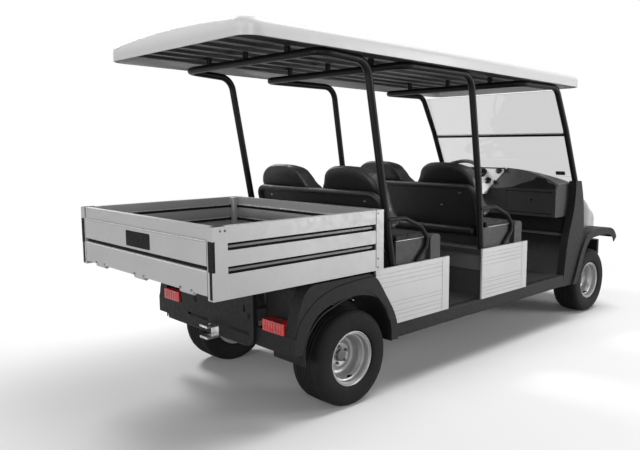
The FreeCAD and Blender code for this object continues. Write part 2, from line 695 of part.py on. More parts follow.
def pivot_bracket():
    """Two ears with a pin between them, where the load bed turns."""
    gap_half = BED_CHANNEL_WIDTH / 2 + PIVOT_GAP
    reach = gap_half + PIVOT_PLATE
    rear, front = BED_PIVOT_X - PIVOT_EAR_RADIUS, BED_PIVOT_X + PIVOT_EAR_RADIUS
    block = box(rear, front, RAIL_Y - reach, RAIL_Y + reach, KICK_TOP, BED_PIVOT_Z)
    near = V(BED_PIVOT_X, RAIL_Y - reach, BED_PIVOT_Z)
    far = V(BED_PIVOT_X, RAIL_Y + reach, BED_PIVOT_Z)
    block = block.fuse(rod(near, far, PIVOT_EAR_RADIUS))
    slot_bottom = CHANNEL_BOTTOM - BED_CHANNEL_OVERHANG - PIVOT_GAP
    slot_top = BED_PIVOT_Z + PIVOT_EAR_RADIUS + CUT
    block = block.cut(box(rear - CUT, front + CUT, RAIL_Y - gap_half, RAIL_Y + gap_half, slot_bottom,
                          slot_top))
    return block.fuse(rod(near, far, PIVOT_RADIUS)).removeSplitter()


def frame_brackets():
    """What stands on the rails or hangs from them: bed pivots, rests, spring hangers, the shocks' tower."""
    half = MEMBER_WIDTH / 2
    brackets = pair(pivot_bracket())
    brackets += pair(across(REST_STATION, RAIL_INNER, RAIL_OUTER, CHANNEL_BOTTOM - RUN_GAP,
                            CHANNEL_BOTTOM - RUN_GAP - KICK_TOP))
    for station in (-SPRING_HALF_LENGTH, SPRING_HALF_LENGTH):
        hanger = box(station - EYE_RADIUS, station + EYE_RADIUS, RAIL_Y - HANGER_THICK / 2,
                     RAIL_Y + HANGER_THICK / 2, SPRING_EYE_Z, KICK_BOTTOM)
        eye = V(station, 0, SPRING_EYE_Z)
        brackets += pair(hanger.cut(rod(eye, eye + V(0, SILL_INNER_Y, 0), EYE_RADIUS)))
    towers = pair(across(WHEELBASE, RAIL_INNER, RAIL_OUTER, TOWER_TOP, TOWER_TOP - RAIL_TOP))
    head = SHOCK_HEAD_Y + SHOCK_RADIUS
    tower_bar = box(WHEELBASE - half, WHEELBASE + half, -head, head, SHOCK_HEAD_Z, TOWER_TOP)
    return brackets + [fused(towers + [tower_bar])]


def rear_axle():
    z = TYRE_RADIUS
    tube_solid = rod(V(0, -AXLE_END_Y, z), V(0, AXLE_END_Y, z), AXLE_RADIUS)
    case = rod(V(0, -GEAR_CASE_WIDTH / 2, z), V(0, GEAR_CASE_WIDTH / 2, z), GEAR_CASE_RADIUS)
    ends = []
    for side in (1, -1):
        inner = side * DRUM_BACK_Y
        ends.append(rod(V(0, side * (AXLE_END_Y - CUT), z), V(0, inner + side * DRUM_WIDTH, z), DRUM_RADIUS))
        tip = side * (REAR_WHEEL_Y + HUB_BACK + STUB_DEPTH)
        ends.append(rod(V(0, inner, z), V(0, tip, z), STUB_RADIUS))
    return [fused([tube_solid, case] + ends)]


def leaf_outline(half, drop):
    """A cambered leaf, low at its middle, from end to end."""
    z = TYRE_RADIUS + AXLE_RADIUS
    lower = []
    for index in range(LEAF_STEPS + 1):
        share = -1 + 2 * index / LEAF_STEPS
        bow = SPRING_CAMBER * (share * half / SPRING_HALF_LENGTH) ** 2
        lower.append((share * half, z - drop + bow))
    upper_edge = [(x, height + SPRING_LEAF) for x, height in reversed(lower)]
    return lower + upper_edge


def rear_springs():
    leaves = []
    for index in range(SPRING_LEAVES):
        half = SPRING_HALF_LENGTH - index * SPRING_STEP
        rise = -index * SPRING_LEAF
        leaf = leaf_outline(half, rise)
        leaves.append(slab_y(leaf, RAIL_Y - SPRING_WIDTH / 2, RAIL_Y + SPRING_WIDTH / 2))
    pack = fused(leaves)
    for side in (-1, 1):
        eye = V(side * SPRING_HALF_LENGTH, RAIL_Y - SPRING_WIDTH / 2, SPRING_EYE_Z)
        pack = pack.fuse(rod(eye, eye + V(0, SPRING_WIDTH, 0), EYE_RADIUS))
    return pair(pack.removeSplitter())


def engine():
    return [box(ENGINE_REAR, ENGINE_REAR + ENGINE_LENGTH, -RAIL_INNER, RAIL_INNER,
                ENGINE_BOTTOM, ENGINE_BOTTOM + ENGINE_HEIGHT)]


def floor():
    flat = box(REAR_BASE_FRONT, TOE_FOOT, -SILL_INNER_Y, SILL_INNER_Y, RAIL_TOP, FLOOR_TOP)
    profile = [(TOE_FOOT, RAIL_TOP), (TOE_FOOT, FLOOR_TOP), (TOE_TOP - TOE_THICK, TOE_TOP_Z),
               (TOE_TOP, TOE_TOP_Z), (TOE_FOOT + FLOOR_THICK, RAIL_TOP)]
    toe = slab_y(profile, -PILLAR_INNER_Y, PILLAR_INNER_Y)
    return [fused([flat, toe])]


def side_sills():
    sill = box(SILL_REAR, TOE_FOOT, SILL_INNER_Y, BODY_HALF_WIDTH, SILL_BOTTOM, FLOOR_TOP)
    return pair(softened(sill, SILL_WIDTH / 4, along(X)))


# Front axle and steering

def front_axle():
    z = TYRE_RADIUS
    beam = box(WHEELBASE - BEAM_WIDTH / 2, WHEELBASE + BEAM_WIDTH / 2, -KINGPIN_Y + YOKE_WIDTH / 2,
               KINGPIN_Y - YOKE_WIDTH / 2, z - BEAM_HEIGHT / 2 - BEAM_DROP, z + BEAM_HEIGHT / 2 - BEAM_DROP)
    solids = [beam]
    ear_z = KNUCKLE_HEIGHT / 2 + YOKE_GAP
    inner, outer = KINGPIN_Y - YOKE_WIDTH / 2 - YOKE_EAR, KINGPIN_Y + KNUCKLE_SIZE / 2
    for side in (1, -1):
        y0, y1 = sorted((side * inner, side * outer))
        block = box(WHEELBASE - YOKE_LENGTH / 2, WHEELBASE + YOKE_LENGTH / 2, y0, y1,
                    z - ear_z - YOKE_EAR, z + ear_z + YOKE_EAR)
        s0, s1 = sorted((side * (KINGPIN_Y - YOKE_WIDTH / 2), side * (KINGPIN_Y + YOKE_WIDTH)))
        block = block.cut(box(WHEELBASE - YOKE_LENGTH, WHEELBASE + YOKE_LENGTH, s0, s1, z - ear_z, z + ear_z))
        solids.append(block)
        solids.append(rod(V(WHEELBASE, side * KINGPIN_Y, z - ear_z - YOKE_EAR),
                          V(WHEELBASE, side * KINGPIN_Y, z + ear_z + YOKE_EAR), KINGPIN_RADIUS))
    return [fused(solids)]


def front_shocks():
    foot = V(WHEELBASE, SHOCK_FOOT_Y, TYRE_RADIUS + BEAM_HEIGHT / 2 - BEAM_DROP)
    return pair(rod(foot, V(WHEELBASE, SHOCK_FOOT_Y, SHOCK_HEAD_Z), SHOCK_RADIUS))


ARM_Z = TYRE_RADIUS - KNUCKLE_HEIGHT / 2


def knuckle():
    z = TYRE_RADIUS
    half = KNUCKLE_SIZE / 2
    block = box(WHEELBASE - half, WHEELBASE + half, KINGPIN_Y - half, KINGPIN_Y + half,
                z - KNUCKLE_HEIGHT / 2, z + KNUCKLE_HEIGHT / 2)
    stub_end = FRONT_WHEEL_Y + HUB_BACK + STUB_DEPTH
    stub = rod(V(WHEELBASE, KINGPIN_Y, z), V(WHEELBASE, stub_end, z), STUB_RADIUS)
    drum_y = FRONT_WHEEL_Y + HUB_BACK - FRONT_DRUM_WIDTH - RUN_GAP
    drum = rod(V(WHEELBASE, drum_y, z), V(WHEELBASE, drum_y + FRONT_DRUM_WIDTH, z), FRONT_DRUM_RADIUS)
    arm_half = ARM_WIDTH / 2
    arm = box(WHEELBASE - ARM_LENGTH, WHEELBASE - half + CUT, KINGPIN_Y - arm_half, KINGPIN_Y + arm_half,
              ARM_Z, ARM_Z + ARM_THICK)
    arm_tip = V(WHEELBASE - ARM_LENGTH, KINGPIN_Y, ARM_Z)
    end = rod(arm_tip, arm_tip + V(0, 0, ARM_THICK), arm_half)
    pin = rod(arm_tip - V(0, 0, RUN_GAP + TIE_END_HEIGHT), arm_tip, TIE_PIN_RADIUS)
    bore = rod(V(WHEELBASE, KINGPIN_Y, z - KNUCKLE_HEIGHT), V(WHEELBASE, KINGPIN_Y, z + KNUCKLE_HEIGHT),
               KINGPIN_RADIUS + KINGPIN_FIT)
    return fused([block, stub, drum, arm, end, pin]).cut(bore)


def tie_rod():
    z = ARM_Z - RUN_GAP - TIE_END_HEIGHT / 2
    x = WHEELBASE - ARM_LENGTH
    bar = rod(V(x, -KINGPIN_Y, z), V(x, KINGPIN_Y, z), TIE_ROD_RADIUS)
    solids = [bar]
    for side in (1, -1):
        low = V(x, side * KINGPIN_Y, z - TIE_END_HEIGHT / 2)
        solids.append(rod(low, low + V(0, 0, TIE_END_HEIGHT), TIE_END_RADIUS))
    body = fused(solids)
    for side in (1, -1):
        low = V(x, side * KINGPIN_Y, z - TIE_END_HEIGHT)
        body = body.cut(rod(low, low + V(0, 0, TIE_END_HEIGHT * 2), TIE_PIN_RADIUS + KINGPIN_FIT))
    return [body]


# Rear body

def fender_places(shares):
    return placed(shares, FENDER_REAR, FENDER_LENGTH, FENDER_BOTTOM, FENDER_HEIGHT)


def fender_outline(y, shrink):
    """The fender's outline with its wheel opening filled, drawn in by a wall's thickness."""
    runs = []
    for shares in (FENDER_BACK_shares, FENDER_FRONT_shares):
        inner = ribbon(fender_places(shares), shrink)[1][::-1]
        runs.append([V(x, y, z) for x, z in inner])
    return smooth_face(runs)


def rear_fenders():
    """A hollow band over each wheel, and the arched liner that runs in from its opening."""
    width = FENDER_Y - FENDER_INNER_Y
    shell = fender_outline(FENDER_INNER_Y, 0).extrude(V(0, width, 0))
    hollow = fender_outline(FENDER_INNER_Y - CUT, FENDER_SKIN).extrude(V(0, width + CUT - FENDER_SKIN, 0))
    shell = shell.cut(hollow)
    opening = fender_places(FENDER_OPEN_shares)
    mouth = [V(x, WHEELHOUSE_INNER_Y - CUT, z) for x, z in opening]
    ends = [V(point.x, point.y, FENDER_BOTTOM - CUT) for point in (mouth[-1], mouth[0])]
    raised = [V(x, WHEELHOUSE_INNER_Y, z) for x, z in ribbon(opening, -FENDER_SKIN)[1][::-1]]
    deep = FENDER_Y - WHEELHOUSE_INNER_Y
    drum = smooth_face([raised]).extrude(V(0, deep, 0))
    room = smooth_face([mouth, ends[:1], ends[1:]]).extrude(V(0, deep + 2 * CUT, 0))
    return pair(shell.fuse(drum).cut(room))


def pod_block(x0, x1, shrink):
    """The pod's block with rounded lower corners."""
    half = POD_HALF_WIDTH - shrink
    block = box(x0, x1, -half, half, POD_BOTTOM + shrink, POD_TOP + shrink)

    def lower_corner(edge):
        return along(X)(edge) and edge.CenterOfMass.z < POD_EYE_Z

    return softened(block, POD_CORNER - shrink, lower_corner)


def rear_body():
    pod_rear = FASCIA_X - POD_DEPTH
    pod = pod_block(pod_rear, FASCIA_X, 0).cut(pod_block(pod_rear + SHELL, FASCIA_X + CUT, SHELL))
    cutters = []
    for side in (1, -1):
        slot_end = POD_HALF_WIDTH - POD_CORNER
        y0, y1 = sorted((side * (slot_end - POD_SLOT_LENGTH), side * slot_end))
        back, front = pod_rear - CUT, pod_rear + SHELL + CUT
        cutters.append(box(back, front, y0, y1, POD_SLOT_Z, POD_SLOT_Z + POD_SLOT_HEIGHT))
        e0, e1 = sorted((side * POD_EYE_Y, side * (POD_EYE_Y + POD_EYE_WIDTH)))
        cutters.append(box(back, front, e0, e1, POD_EYE_Z, POD_EYE_Z + POD_EYE_HEIGHT))
    hitch_half = HITCH_TUBE / 2
    cutters.append(box(pod_rear - CUT, FASCIA_X + CUT, -hitch_half - RUN_GAP, hitch_half + RUN_GAP,
                       HITCH_Z - hitch_half - RUN_GAP, HITCH_Z + hitch_half + RUN_GAP))
    wings = []
    for side in (1, -1):
        y0, y1 = sorted((side * (POD_HALF_WIDTH - SHELL), side * FENDER_INNER_Y))
        l0, l1 = sorted((side * (POD_HALF_WIDTH - SHELL), side * FENDER_Y))
        wings.append(box(FASCIA_X - SHELL, FASCIA_X, l0, l1, WING_BOTTOM, LEDGE_Z))
        wings.append(box(FASCIA_X - SHELL, FASCIA_X + RECESS_DEPTH, y0, y1, LEDGE_Z - SHELL, LEDGE_Z))
        wings.append(box(FASCIA_X + RECESS_DEPTH - SHELL, FASCIA_X + RECESS_DEPTH, y0, y1, LEDGE_Z, POD_TOP))
    body = fused([pod] + wings)
    for cutter in cutters:
        body = body.cut(cutter)
    return [body]


def tail_lamps():
    rear = FASCIA_X - LAMP_CORNER
    lamp = box(rear, rear + LAMP_DEPTH, LAMP_INNER_Y, LAMP_INNER_Y + LAMP_WIDTH, LEDGE_Z,
               LEDGE_Z + LAMP_HEIGHT)
    return pair(softened(lamp, LAMP_CORNER / 2, along(Z)))


def tow_hitch():
    half = HITCH_TUBE / 2
    rear = FASCIA_X - POD_DEPTH
    front = rear + HITCH_LENGTH
    tube_solid = box(rear, front, -half, half, HITCH_Z - half, HITCH_Z + half)
    inner = half - HITCH_WALL
    tube_solid = tube_solid.cut(box(rear - CUT, front + CUT, -inner, inner, HITCH_Z - inner,
                                    HITCH_Z + inner))
    cap = box(rear - HITCH_WALL, rear, -CLEVIS_WIDTH / 2, CLEVIS_WIDTH / 2,
              HITCH_Z - CLEVIS_GAP / 2 - CLEVIS_THICK, HITCH_Z + CLEVIS_GAP / 2 + CLEVIS_THICK)
    jaws = []
    for z0 in (HITCH_Z + CLEVIS_GAP / 2, HITCH_Z - CLEVIS_GAP / 2 - CLEVIS_THICK):
        jaw = box(rear - HITCH_WALL - CLEVIS_LENGTH, rear - HITCH_WALL, -CLEVIS_WIDTH / 2,
                  CLEVIS_WIDTH / 2, z0, z0 + CLEVIS_THICK)
        jaws.append(jaw)
    body = fused([tube_solid, cap] + jaws)
    pin_x = rear - HITCH_WALL - CLEVIS_LENGTH / 2
    hole = rod(V(pin_x, 0, HITCH_Z - CLEVIS_LENGTH), V(pin_x, 0, HITCH_Z + CLEVIS_LENGTH),
               HITCH_PIN_RADIUS)
    hanger = box(front - MEMBER_WIDTH, front, -half, half, HITCH_Z + half,
                 KICK_TOP - MEMBER_HEIGHT)
    return [body.cut(hole).fuse(hanger).removeSplitter()]


# Load bed

BED_FRONT = BED_REAR + BED_LENGTH
DECK_BOTTOM = BED_BOTTOM
DECK_TOP = DECK_BOTTOM + DECK_THICK + DECK_RISE
WALL_INNER_Y = BED_HALF_WIDTH - BED_WALL
GATE_FRONT = BED_REAR + BED_WALL
DECK_REAR = GATE_FRONT + TAILGATE_GAP + GATE_BARREL_RADIUS
GATE_HINGE_X = BED_REAR + GATE_HINGE_INSET


def bed_floor():
    deck = box(DECK_REAR, BED_FRONT - BED_WALL, -WALL_INNER_Y, WALL_INNER_Y, DECK_BOTTOM + DECK_RISE / 2,
               DECK_TOP)
    pitch = 2 * WALL_INNER_Y / DECK_RIB_COUNT
    for index in range(DECK_RIB_COUNT):
        middle = -WALL_INNER_Y + (2 * index + 1) * pitch / 2
        near, far = middle - DECK_RIB_WIDTH / 2, middle + DECK_RIB_WIDTH / 2
        low = DECK_TOP - DECK_RIB_HEIGHT
        deck = deck.cut(box(DECK_REAR - CUT, BED_FRONT, near, far, low, DECK_TOP + CUT))
    solids = [deck]
    lug_z = GATE_HINGE_Z
    for hinge_y in GATE_HINGE_YS:
        for side in (1, -1):
            y0, y1 = sorted((hinge_y + side * (GATE_BARREL_LENGTH / 2 + CUT),
                             hinge_y + side * (GATE_BARREL_LENGTH / 2 + CUT + GATE_LUG_LENGTH)))
            solids.append(rod(V(GATE_HINGE_X, y0, lug_z), V(GATE_HINGE_X, y1, lug_z), GATE_BARREL_RADIUS))
            solids.append(box(GATE_HINGE_X, DECK_REAR + CUT, y0, y1, lug_z - GATE_BARREL_RADIUS / 2,
                              lug_z + GATE_BARREL_RADIUS / 2))
        reach = GATE_BARREL_LENGTH / 2 + CUT + GATE_LUG_LENGTH
        solids.append(rod(V(GATE_HINGE_X, hinge_y - reach, lug_z), V(GATE_HINGE_X, hinge_y + reach, lug_z),
                          GATE_PIN_RADIUS))
    for station in BED_BEARER_STATIONS:
        solids.append(box(station, station + BED_BEARER_WIDTH, -WALL_INNER_Y, WALL_INNER_Y, DECK_BOTTOM,
                          DECK_BOTTOM + DECK_RISE))
    return [fused(solids)]


def bed_channels():
    rear = BED_PIVOT_X - BED_CHANNEL_OVERHANG
    half = BED_CHANNEL_WIDTH / 2
    channel = box(rear, BED_CHANNEL_FRONT, RAIL_Y - half, RAIL_Y + half, CHANNEL_BOTTOM, BED_BOTTOM)
    filler = box(rear, BED_CHANNEL_FRONT, RAIL_Y - half, RAIL_Y + half, BED_BOTTOM - CUT,
                 DECK_BOTTOM + DECK_RISE / 2)
    bearer = BED_BEARER_STATIONS[1]
    filler = filler.cut(box(bearer, bearer + BED_BEARER_WIDTH, 0, WALL_INNER_Y, BED_BOTTOM, DECK_TOP))
    axis = V(BED_PIVOT_X, 0, BED_PIVOT_Z)
    bore = rod(axis, axis + V(0, WALL_INNER_Y, 0), PIVOT_RADIUS + RUN_GAP)
    return pair(fused([channel, filler]).cut(bore))


def plank_profile(outer, inner, sign):
    """The section of a side wall: three planks with two deep slots between them."""
    first = BED_TOP - PLANK_TOP_HEIGHT
    second = first - SLOT_HEIGHT
    third = second - MID_PLANK_HEIGHT
    fourth = third - SLOT_HEIGHT
    floor_y = outer - SLOT_DEPTH
    rail_y = floor_y + SLOT_RAIL_DEPTH
    points = [(inner, BED_BOTTOM), (outer, BED_BOTTOM)]
    for low, high in ((fourth, third), (second, first)):
        middle = (low + high) / 2
        points += [(outer, low), (floor_y, low), (floor_y, middle - SLOT_RAIL_HEIGHT / 2),
                   (rail_y, middle - SLOT_RAIL_HEIGHT / 2), (rail_y, middle + SLOT_RAIL_HEIGHT / 2),
                   (floor_y, middle + SLOT_RAIL_HEIGHT / 2), (floor_y, high), (outer, high)]
    points += [(outer, BED_TOP), (inner, BED_TOP)]
    return [(sign * a, b) for a, b in points]


def bed_side_walls():
    rear = BED_REAR + CORNER_POST_LENGTH
    front = BED_FRONT - FRONT_POST_LENGTH
    return pair(slab_x(plank_profile(BED_HALF_WIDTH, WALL_INNER_Y, 1), rear, front))


def bed_front_wall():
    outline = [(BED_FRONT - BED_WALL, BED_BOTTOM), (BED_FRONT, BED_BOTTOM), (BED_FRONT, BED_TOP),
               (BED_FRONT - BED_WALL, BED_TOP)]
    wall = slab_y(outline, -WALL_INNER_Y, WALL_INNER_Y)
    for drop in (PLANK_TOP_HEIGHT, PLANK_TOP_HEIGHT + SLOT_HEIGHT + MID_PLANK_HEIGHT):
        top = BED_TOP - drop
        face = BED_FRONT - BED_WALL
        wall = wall.cut(box(face - CUT, face + SLOT_RAIL_DEPTH, -WALL_INNER_Y - CUT, WALL_INNER_Y + CUT,
                            top - SLOT_HEIGHT, top))
    return [wall]


def latch_block(rear):
    outer, top = BED_HALF_WIDTH - LATCH_PROUD, BED_TOP - LATCH_TOP_DROP
    return box(rear, BED_REAR + LATCH_DEPTH, outer - LATCH_WIDTH, outer, top - LATCH_HEIGHT, top)


def bed_corner_posts():
    inner, outer = WALL_INNER_Y, BED_HALF_WIDTH
    rear_post = box(BED_REAR, BED_REAR + CORNER_POST_LENGTH, inner, outer, BED_BOTTOM, BED_TOP)
    tongue = box(BED_REAR, GATE_FRONT, outer - CORNER_WIDTH, inner + CUT, BED_BOTTOM, BED_TOP)
    rear_post = fused([rear_post, tongue]).cut(latch_block(BED_REAR - CUT))
    front_post = box(BED_FRONT - FRONT_POST_LENGTH, BED_FRONT, inner, outer, BED_BOTTOM, BED_TOP)
    return pair(rear_post) + pair(front_post)


def bed_latches():
    return pair(latch_block(BED_REAR))


def tailgate():
    half = BED_HALF_WIDTH - CORNER_WIDTH - TAILGATE_GAP
    bottom = GATE_HINGE_Z + TAILGATE_GAP
    crease = BED_TOP - CREASE_DROP
    slot_top = BED_TOP - GATE_SLOT_DROP
    slot_low = slot_top - GATE_SLOT_HEIGHT
    slot_floor = BED_REAR + GATE_SLOT_DEPTH
    profile = [(GATE_FRONT, bottom), (BED_REAR, bottom), (BED_REAR, slot_low), (slot_floor, slot_low),
               (slot_floor, slot_top), (BED_REAR, slot_top), (BED_REAR, crease - CREASE_DEPTH),
               (BED_REAR + CREASE_DEPTH, crease), (BED_REAR + CREASE_DEPTH, BED_TOP), (GATE_FRONT, BED_TOP)]
    gate = slab_y(profile, -half, half)
    bores = []
    for hinge_y in GATE_HINGE_YS:
        lug_reach = GATE_BARREL_LENGTH / 2 + GATE_LUG_LENGTH + TAILGATE_GAP
        notch = box(BED_REAR - CUT, GATE_FRONT + CUT, hinge_y - lug_reach, hinge_y + lug_reach, bottom - CUT,
                    GATE_HINGE_Z + GATE_BARREL_RADIUS + TAILGATE_GAP)
        gate = gate.cut(notch)
        start = V(GATE_HINGE_X, hinge_y - GATE_BARREL_LENGTH / 2, GATE_HINGE_Z)
        stop = start + V(0, GATE_BARREL_LENGTH, 0)
        web = box(GATE_HINGE_X - GATE_BARREL_RADIUS, GATE_HINGE_X + GATE_BARREL_RADIUS, start.y, stop.y,
                  GATE_HINGE_Z, GATE_HINGE_Z + GATE_BARREL_RADIUS + TAILGATE_GAP + CUT)
        gate = gate.fuse(rod(start, stop, GATE_BARREL_RADIUS)).fuse(web)
        bores.append(rod(start - V(0, CUT, 0), stop + V(0, CUT, 0), GATE_PIN_RADIUS + RUN_GAP))
    gate = gate.removeSplitter()
    for bore in bores:
        gate = gate.cut(bore)
    return [gate]


# Roof

def roof_level(x):
    share = (x - ROOF_REAR) / (ROOF_FRONT - ROOF_REAR)
    return ROOF_LIP_REAR + share * (ROOF_LIP_FRONT - ROOF_LIP_REAR)


def crowned(half, skirt, crown, drop, x0, x1):
    """A crowned block that falls towards the front with the roof's lip."""
    low = roof_level(x0) - drop
    arc = Part.Arc(V(x0, half, low + drop + skirt), V(x0, 0, low + drop + skirt + crown),
                   V(x0, -half, low + drop + skirt)).toShape()
    sides = Part.makePolygon([V(x0, -half, low + drop + skirt), V(x0, -half, low), V(x0, half, low),
                              V(x0, half, low + drop + skirt)])
    section = Part.Face(Part.Wire([arc] + sides.Edges))
    return section.extrude(V(x1 - x0, 0, roof_level(x1) - roof_level(x0)))


def plan_block(x0, x1, half, corner):
    """A tall block with the roof's rounded plan."""
    low = min(ROOF_LIP_REAR, ROOF_LIP_FRONT) - ROOF_SKIRT
    high = max(ROOF_LIP_REAR, ROOF_LIP_FRONT) + ROOF_SKIRT + ROOF_CROWN + ROOF_SKIN
    plan = rounded_rectangle(x0, x1, -half, half, low, corner)
    return Part.Face(plan).extrude(V(0, 0, high - low))


def roof_blank(shrink, drop):
    block = crowned(ROOF_HALF_WIDTH - shrink + ROOF_SKIN, ROOF_SKIRT - shrink, ROOF_CROWN, drop,
                    ROOF_REAR - CUT, ROOF_FRONT + CUT)
    return block.common(plan_block(ROOF_REAR + shrink, ROOF_FRONT - shrink, ROOF_HALF_WIDTH - shrink,
                                   ROOF_CORNER - shrink))


def top_edges(shape):
    """Edges that bound the crowned top face."""
    return max(shape.Faces, key=lambda face: face.CenterOfMass.z).Edges


def roof_shell():
    outer = roof_blank(0, 0)
    outer = outer.makeFillet(ROOF_EDGE, top_edges(outer))
    inner = roof_blank(ROOF_SKIN, ROOF_SKIN)
    inner = inner.makeFillet(ROOF_EDGE - ROOF_SKIN, top_edges(inner))
    return [outer.cut(inner)]


def roof_liner():
    x0, x1 = ROOF_REAR + ROOF_SKIN, ROOF_FRONT - ROOF_SKIN
    half = ROOF_HALF_WIDTH - ROOF_SKIN

    def sheet(low, high, half_width, start, stop):
        z = roof_level(start)
        section = face_through([V(start, -half_width, z + low), V(start, half_width, z + low),
                                V(start, half_width, z + high), V(start, -half_width, z + high)])
        return section.extrude(V(stop - start, 0, roof_level(stop) - z))

    panel = sheet(LINER_DROP, LINER_DROP + LINER_SKIN, half, x0, x1)
    ribs = []
    pitch = 2 * (half - LINER_MARGIN) / LINER_RIBS
    for index in range(LINER_RIBS):
        middle = -half + LINER_MARGIN + (2 * index + 1) * pitch / 2
        rib = sheet(LINER_DROP - LINER_RIB_HEIGHT, LINER_DROP + CUT, LINER_RIB_WIDTH / 2, x0 + ROOF_CORNER,
                    x1 - ROOF_CORNER)
        rib.translate(V(0, middle, 0))
        ribs.append(rib)
    return [fused([panel.common(plan_block(x0, x1, half, ROOF_CORNER - ROOF_SKIN))] + ribs)]


def hoop(foot, middle, shoulder, bar):
    """One bent tube: up one side, back under the roof, across and down the other side.
    Tabs stand on its crossbar and carry the roof."""
    points = [V(foot[0], POST_Y, foot[1]), V(middle[0], POST_Y, middle[1])]
    for x, drop in (shoulder, bar):
        points.append(V(x, POST_Y, roof_level(x) - drop))
    other = [V(p.x, -p.y, p.z) for p in reversed(points)]
    radii = [POST_GENTLE_BEND, POST_BEND, HOOP_CORNER, HOOP_CORNER, POST_BEND, POST_GENTLE_BEND]
    solids = [tube(points + other, radii, POST_RADIUS)]
    bar_x, bar_z = points[-1].x, points[-1].z
    half = TAB_WIDTH / 2
    for y in TAB_YS:
        solids.append(box(bar_x - half, bar_x + half, y - half, y + half, bar_z,
                          roof_level(bar_x) + LINER_DROP + LINER_SKIN / 2))
    return fused(solids)


def windscreen():
    foot = V(SCREEN_FOOT_X, 0, SCREEN_FOOT_Z)
    top = V(SCREEN_TOP_X, 0, roof_level(SCREEN_TOP_X) - SCREEN_TOP_DROP)
    up = (top - foot).normalize()
    out = V(up.z, 0, -up.x)
    length = (top - foot).Length
    half_rail = SPLIT_RAIL_HEIGHT / 2

    def pane(start, stop, thick, half):
        corner = foot + up * start - out * (thick / 2)
        points = [corner, corner + up * (stop - start), corner + up * (stop - start) + out * thick,
                  corner + out * thick]
        section = face_through([p + V(0, -half, 0) for p in points])
        return section.extrude(V(0, 2 * half, 0))

    split = length * SCREEN_SPLIT_share
    lower = pane(0, split - half_rail, SCREEN_THICK, SCREEN_HALF_WIDTH)
    above = pane(split + half_rail, length, SCREEN_THICK, SCREEN_HALF_WIDTH)
    rail = pane(split - half_rail, split + half_rail, SPLIT_RAIL_THICK, SCREEN_HALF_WIDTH)
    return {"windscreen_panes": [lower, above], "windscreen_rail": [rail]}


# Seats

def hip_plate(rear, foot_x):
    """A plate beside the cushion that ends in a rounded post behind the cushion's nose."""
    inner, outer = CUSHION_HALF_WIDTH + RUN_GAP, ARM_Y - ARM_RADIUS - RUN_GAP
    low = SEAT_BASE_TOP
    post_rear = foot_x + HIP_LENGTH + ARM_RADIUS + HIP_STEP_GAP
    plate = box(rear, post_rear + CUT, inner, outer, low, low + HIP_HEIGHT)
    post = box(post_rear, post_rear + HIP_POST_LENGTH, inner, BODY_HALF_WIDTH, low, low + HIP_POST_HEIGHT)

    def top_corner(edge):
        return along(Y)(edge) and edge.CenterOfMass.z > low

    return plate.fuse(softened(post, HIP_POST_CORNER, top_corner))


def seat_base(rear, front, foot_x, has_back):
    """A hollow base with the pan that carries the cushion and a hip plate at each side."""
    sheet = BASE_SHEET
    outer = box(rear, front, -BODY_HALF_WIDTH, BODY_HALF_WIDTH, FLOOR_TOP, SEAT_BASE_TOP)
    room_rear = rear + sheet if has_back else rear - CUT
    room = box(room_rear, front - sheet, -BODY_HALF_WIDTH + sheet, BODY_HALF_WIDTH - sheet, FLOOR_TOP - CUT,
               SEAT_BASE_TOP - sheet)
    pan_half = CUSHION_HALF_WIDTH - PAN_INSET
    pan = box(foot_x, front, -pan_half, pan_half, SEAT_BASE_TOP, SEAT_BASE_TOP + PAN_HEIGHT)
    return fused([outer.cut(room), pan] + pair(hip_plate(rear, foot_x)))


def cushion(foot_x, front):
    """A cushion with a rounded roll along its front, clear of the back panel's lower edge."""
    rear = foot_x + BACK_PANEL_DROP * math.sin(math.radians(SEAT_LEAN))
    low = SEAT_BASE_TOP + PAN_HEIGHT + RUN_GAP
    block = box(rear, front, -CUSHION_HALF_WIDTH, CUSHION_HALF_WIDTH, low, CUSHION_TOP)
    block = softened(block, CUSHION_EDGE, along(X))
    block = softened(block, CUSHION_EDGE / 2, along(Y))
    seam = front - ROLL_LENGTH
    return block.cut(box(seam, seam + SEAM_WIDTH, -BODY_HALF_WIDTH, BODY_HALF_WIDTH, CUSHION_TOP - SEAM_DEPTH,
                         CUSHION_TOP + CUT))


def leaned(shape, x):
    """Leans an upright shape back about the foot of a seat's back."""
    shape.rotate(V(x, 0, BACK_FOOT), Y, -SEAT_LEAN)
    return shape


def seat_back(x):
    """Two padded backs with humped tops."""
    top = placed(BACK_TOP_shares, BACK_GAP, BACK_HALF_WIDTH - BACK_GAP, BACK_FOOT, BACK_LENGTH)
    corners = [[V(x, BACK_HALF_WIDTH, BACK_FOOT)], [V(x, BACK_GAP, BACK_FOOT)]]
    pad = smooth_face([[V(x, y, z) for y, z in top]] + corners).extrude(V(BACK_THICK, 0, 0))
    side = [V(x + ahead * BACK_THICK, 0, BACK_FOOT + up * BACK_LENGTH) for ahead, up in BACK_SIDE_shares]
    section = smooth_face([side, [V(x - CUT, 0, side[-1].z)], [V(x - CUT, 0, BACK_FOOT - CUT)],
                           [V(side[0].x, 0, BACK_FOOT - CUT)]])
    return pair(leaned(pad.common(section.extrude(V(0, BODY_HALF_WIDTH, 0))), x))


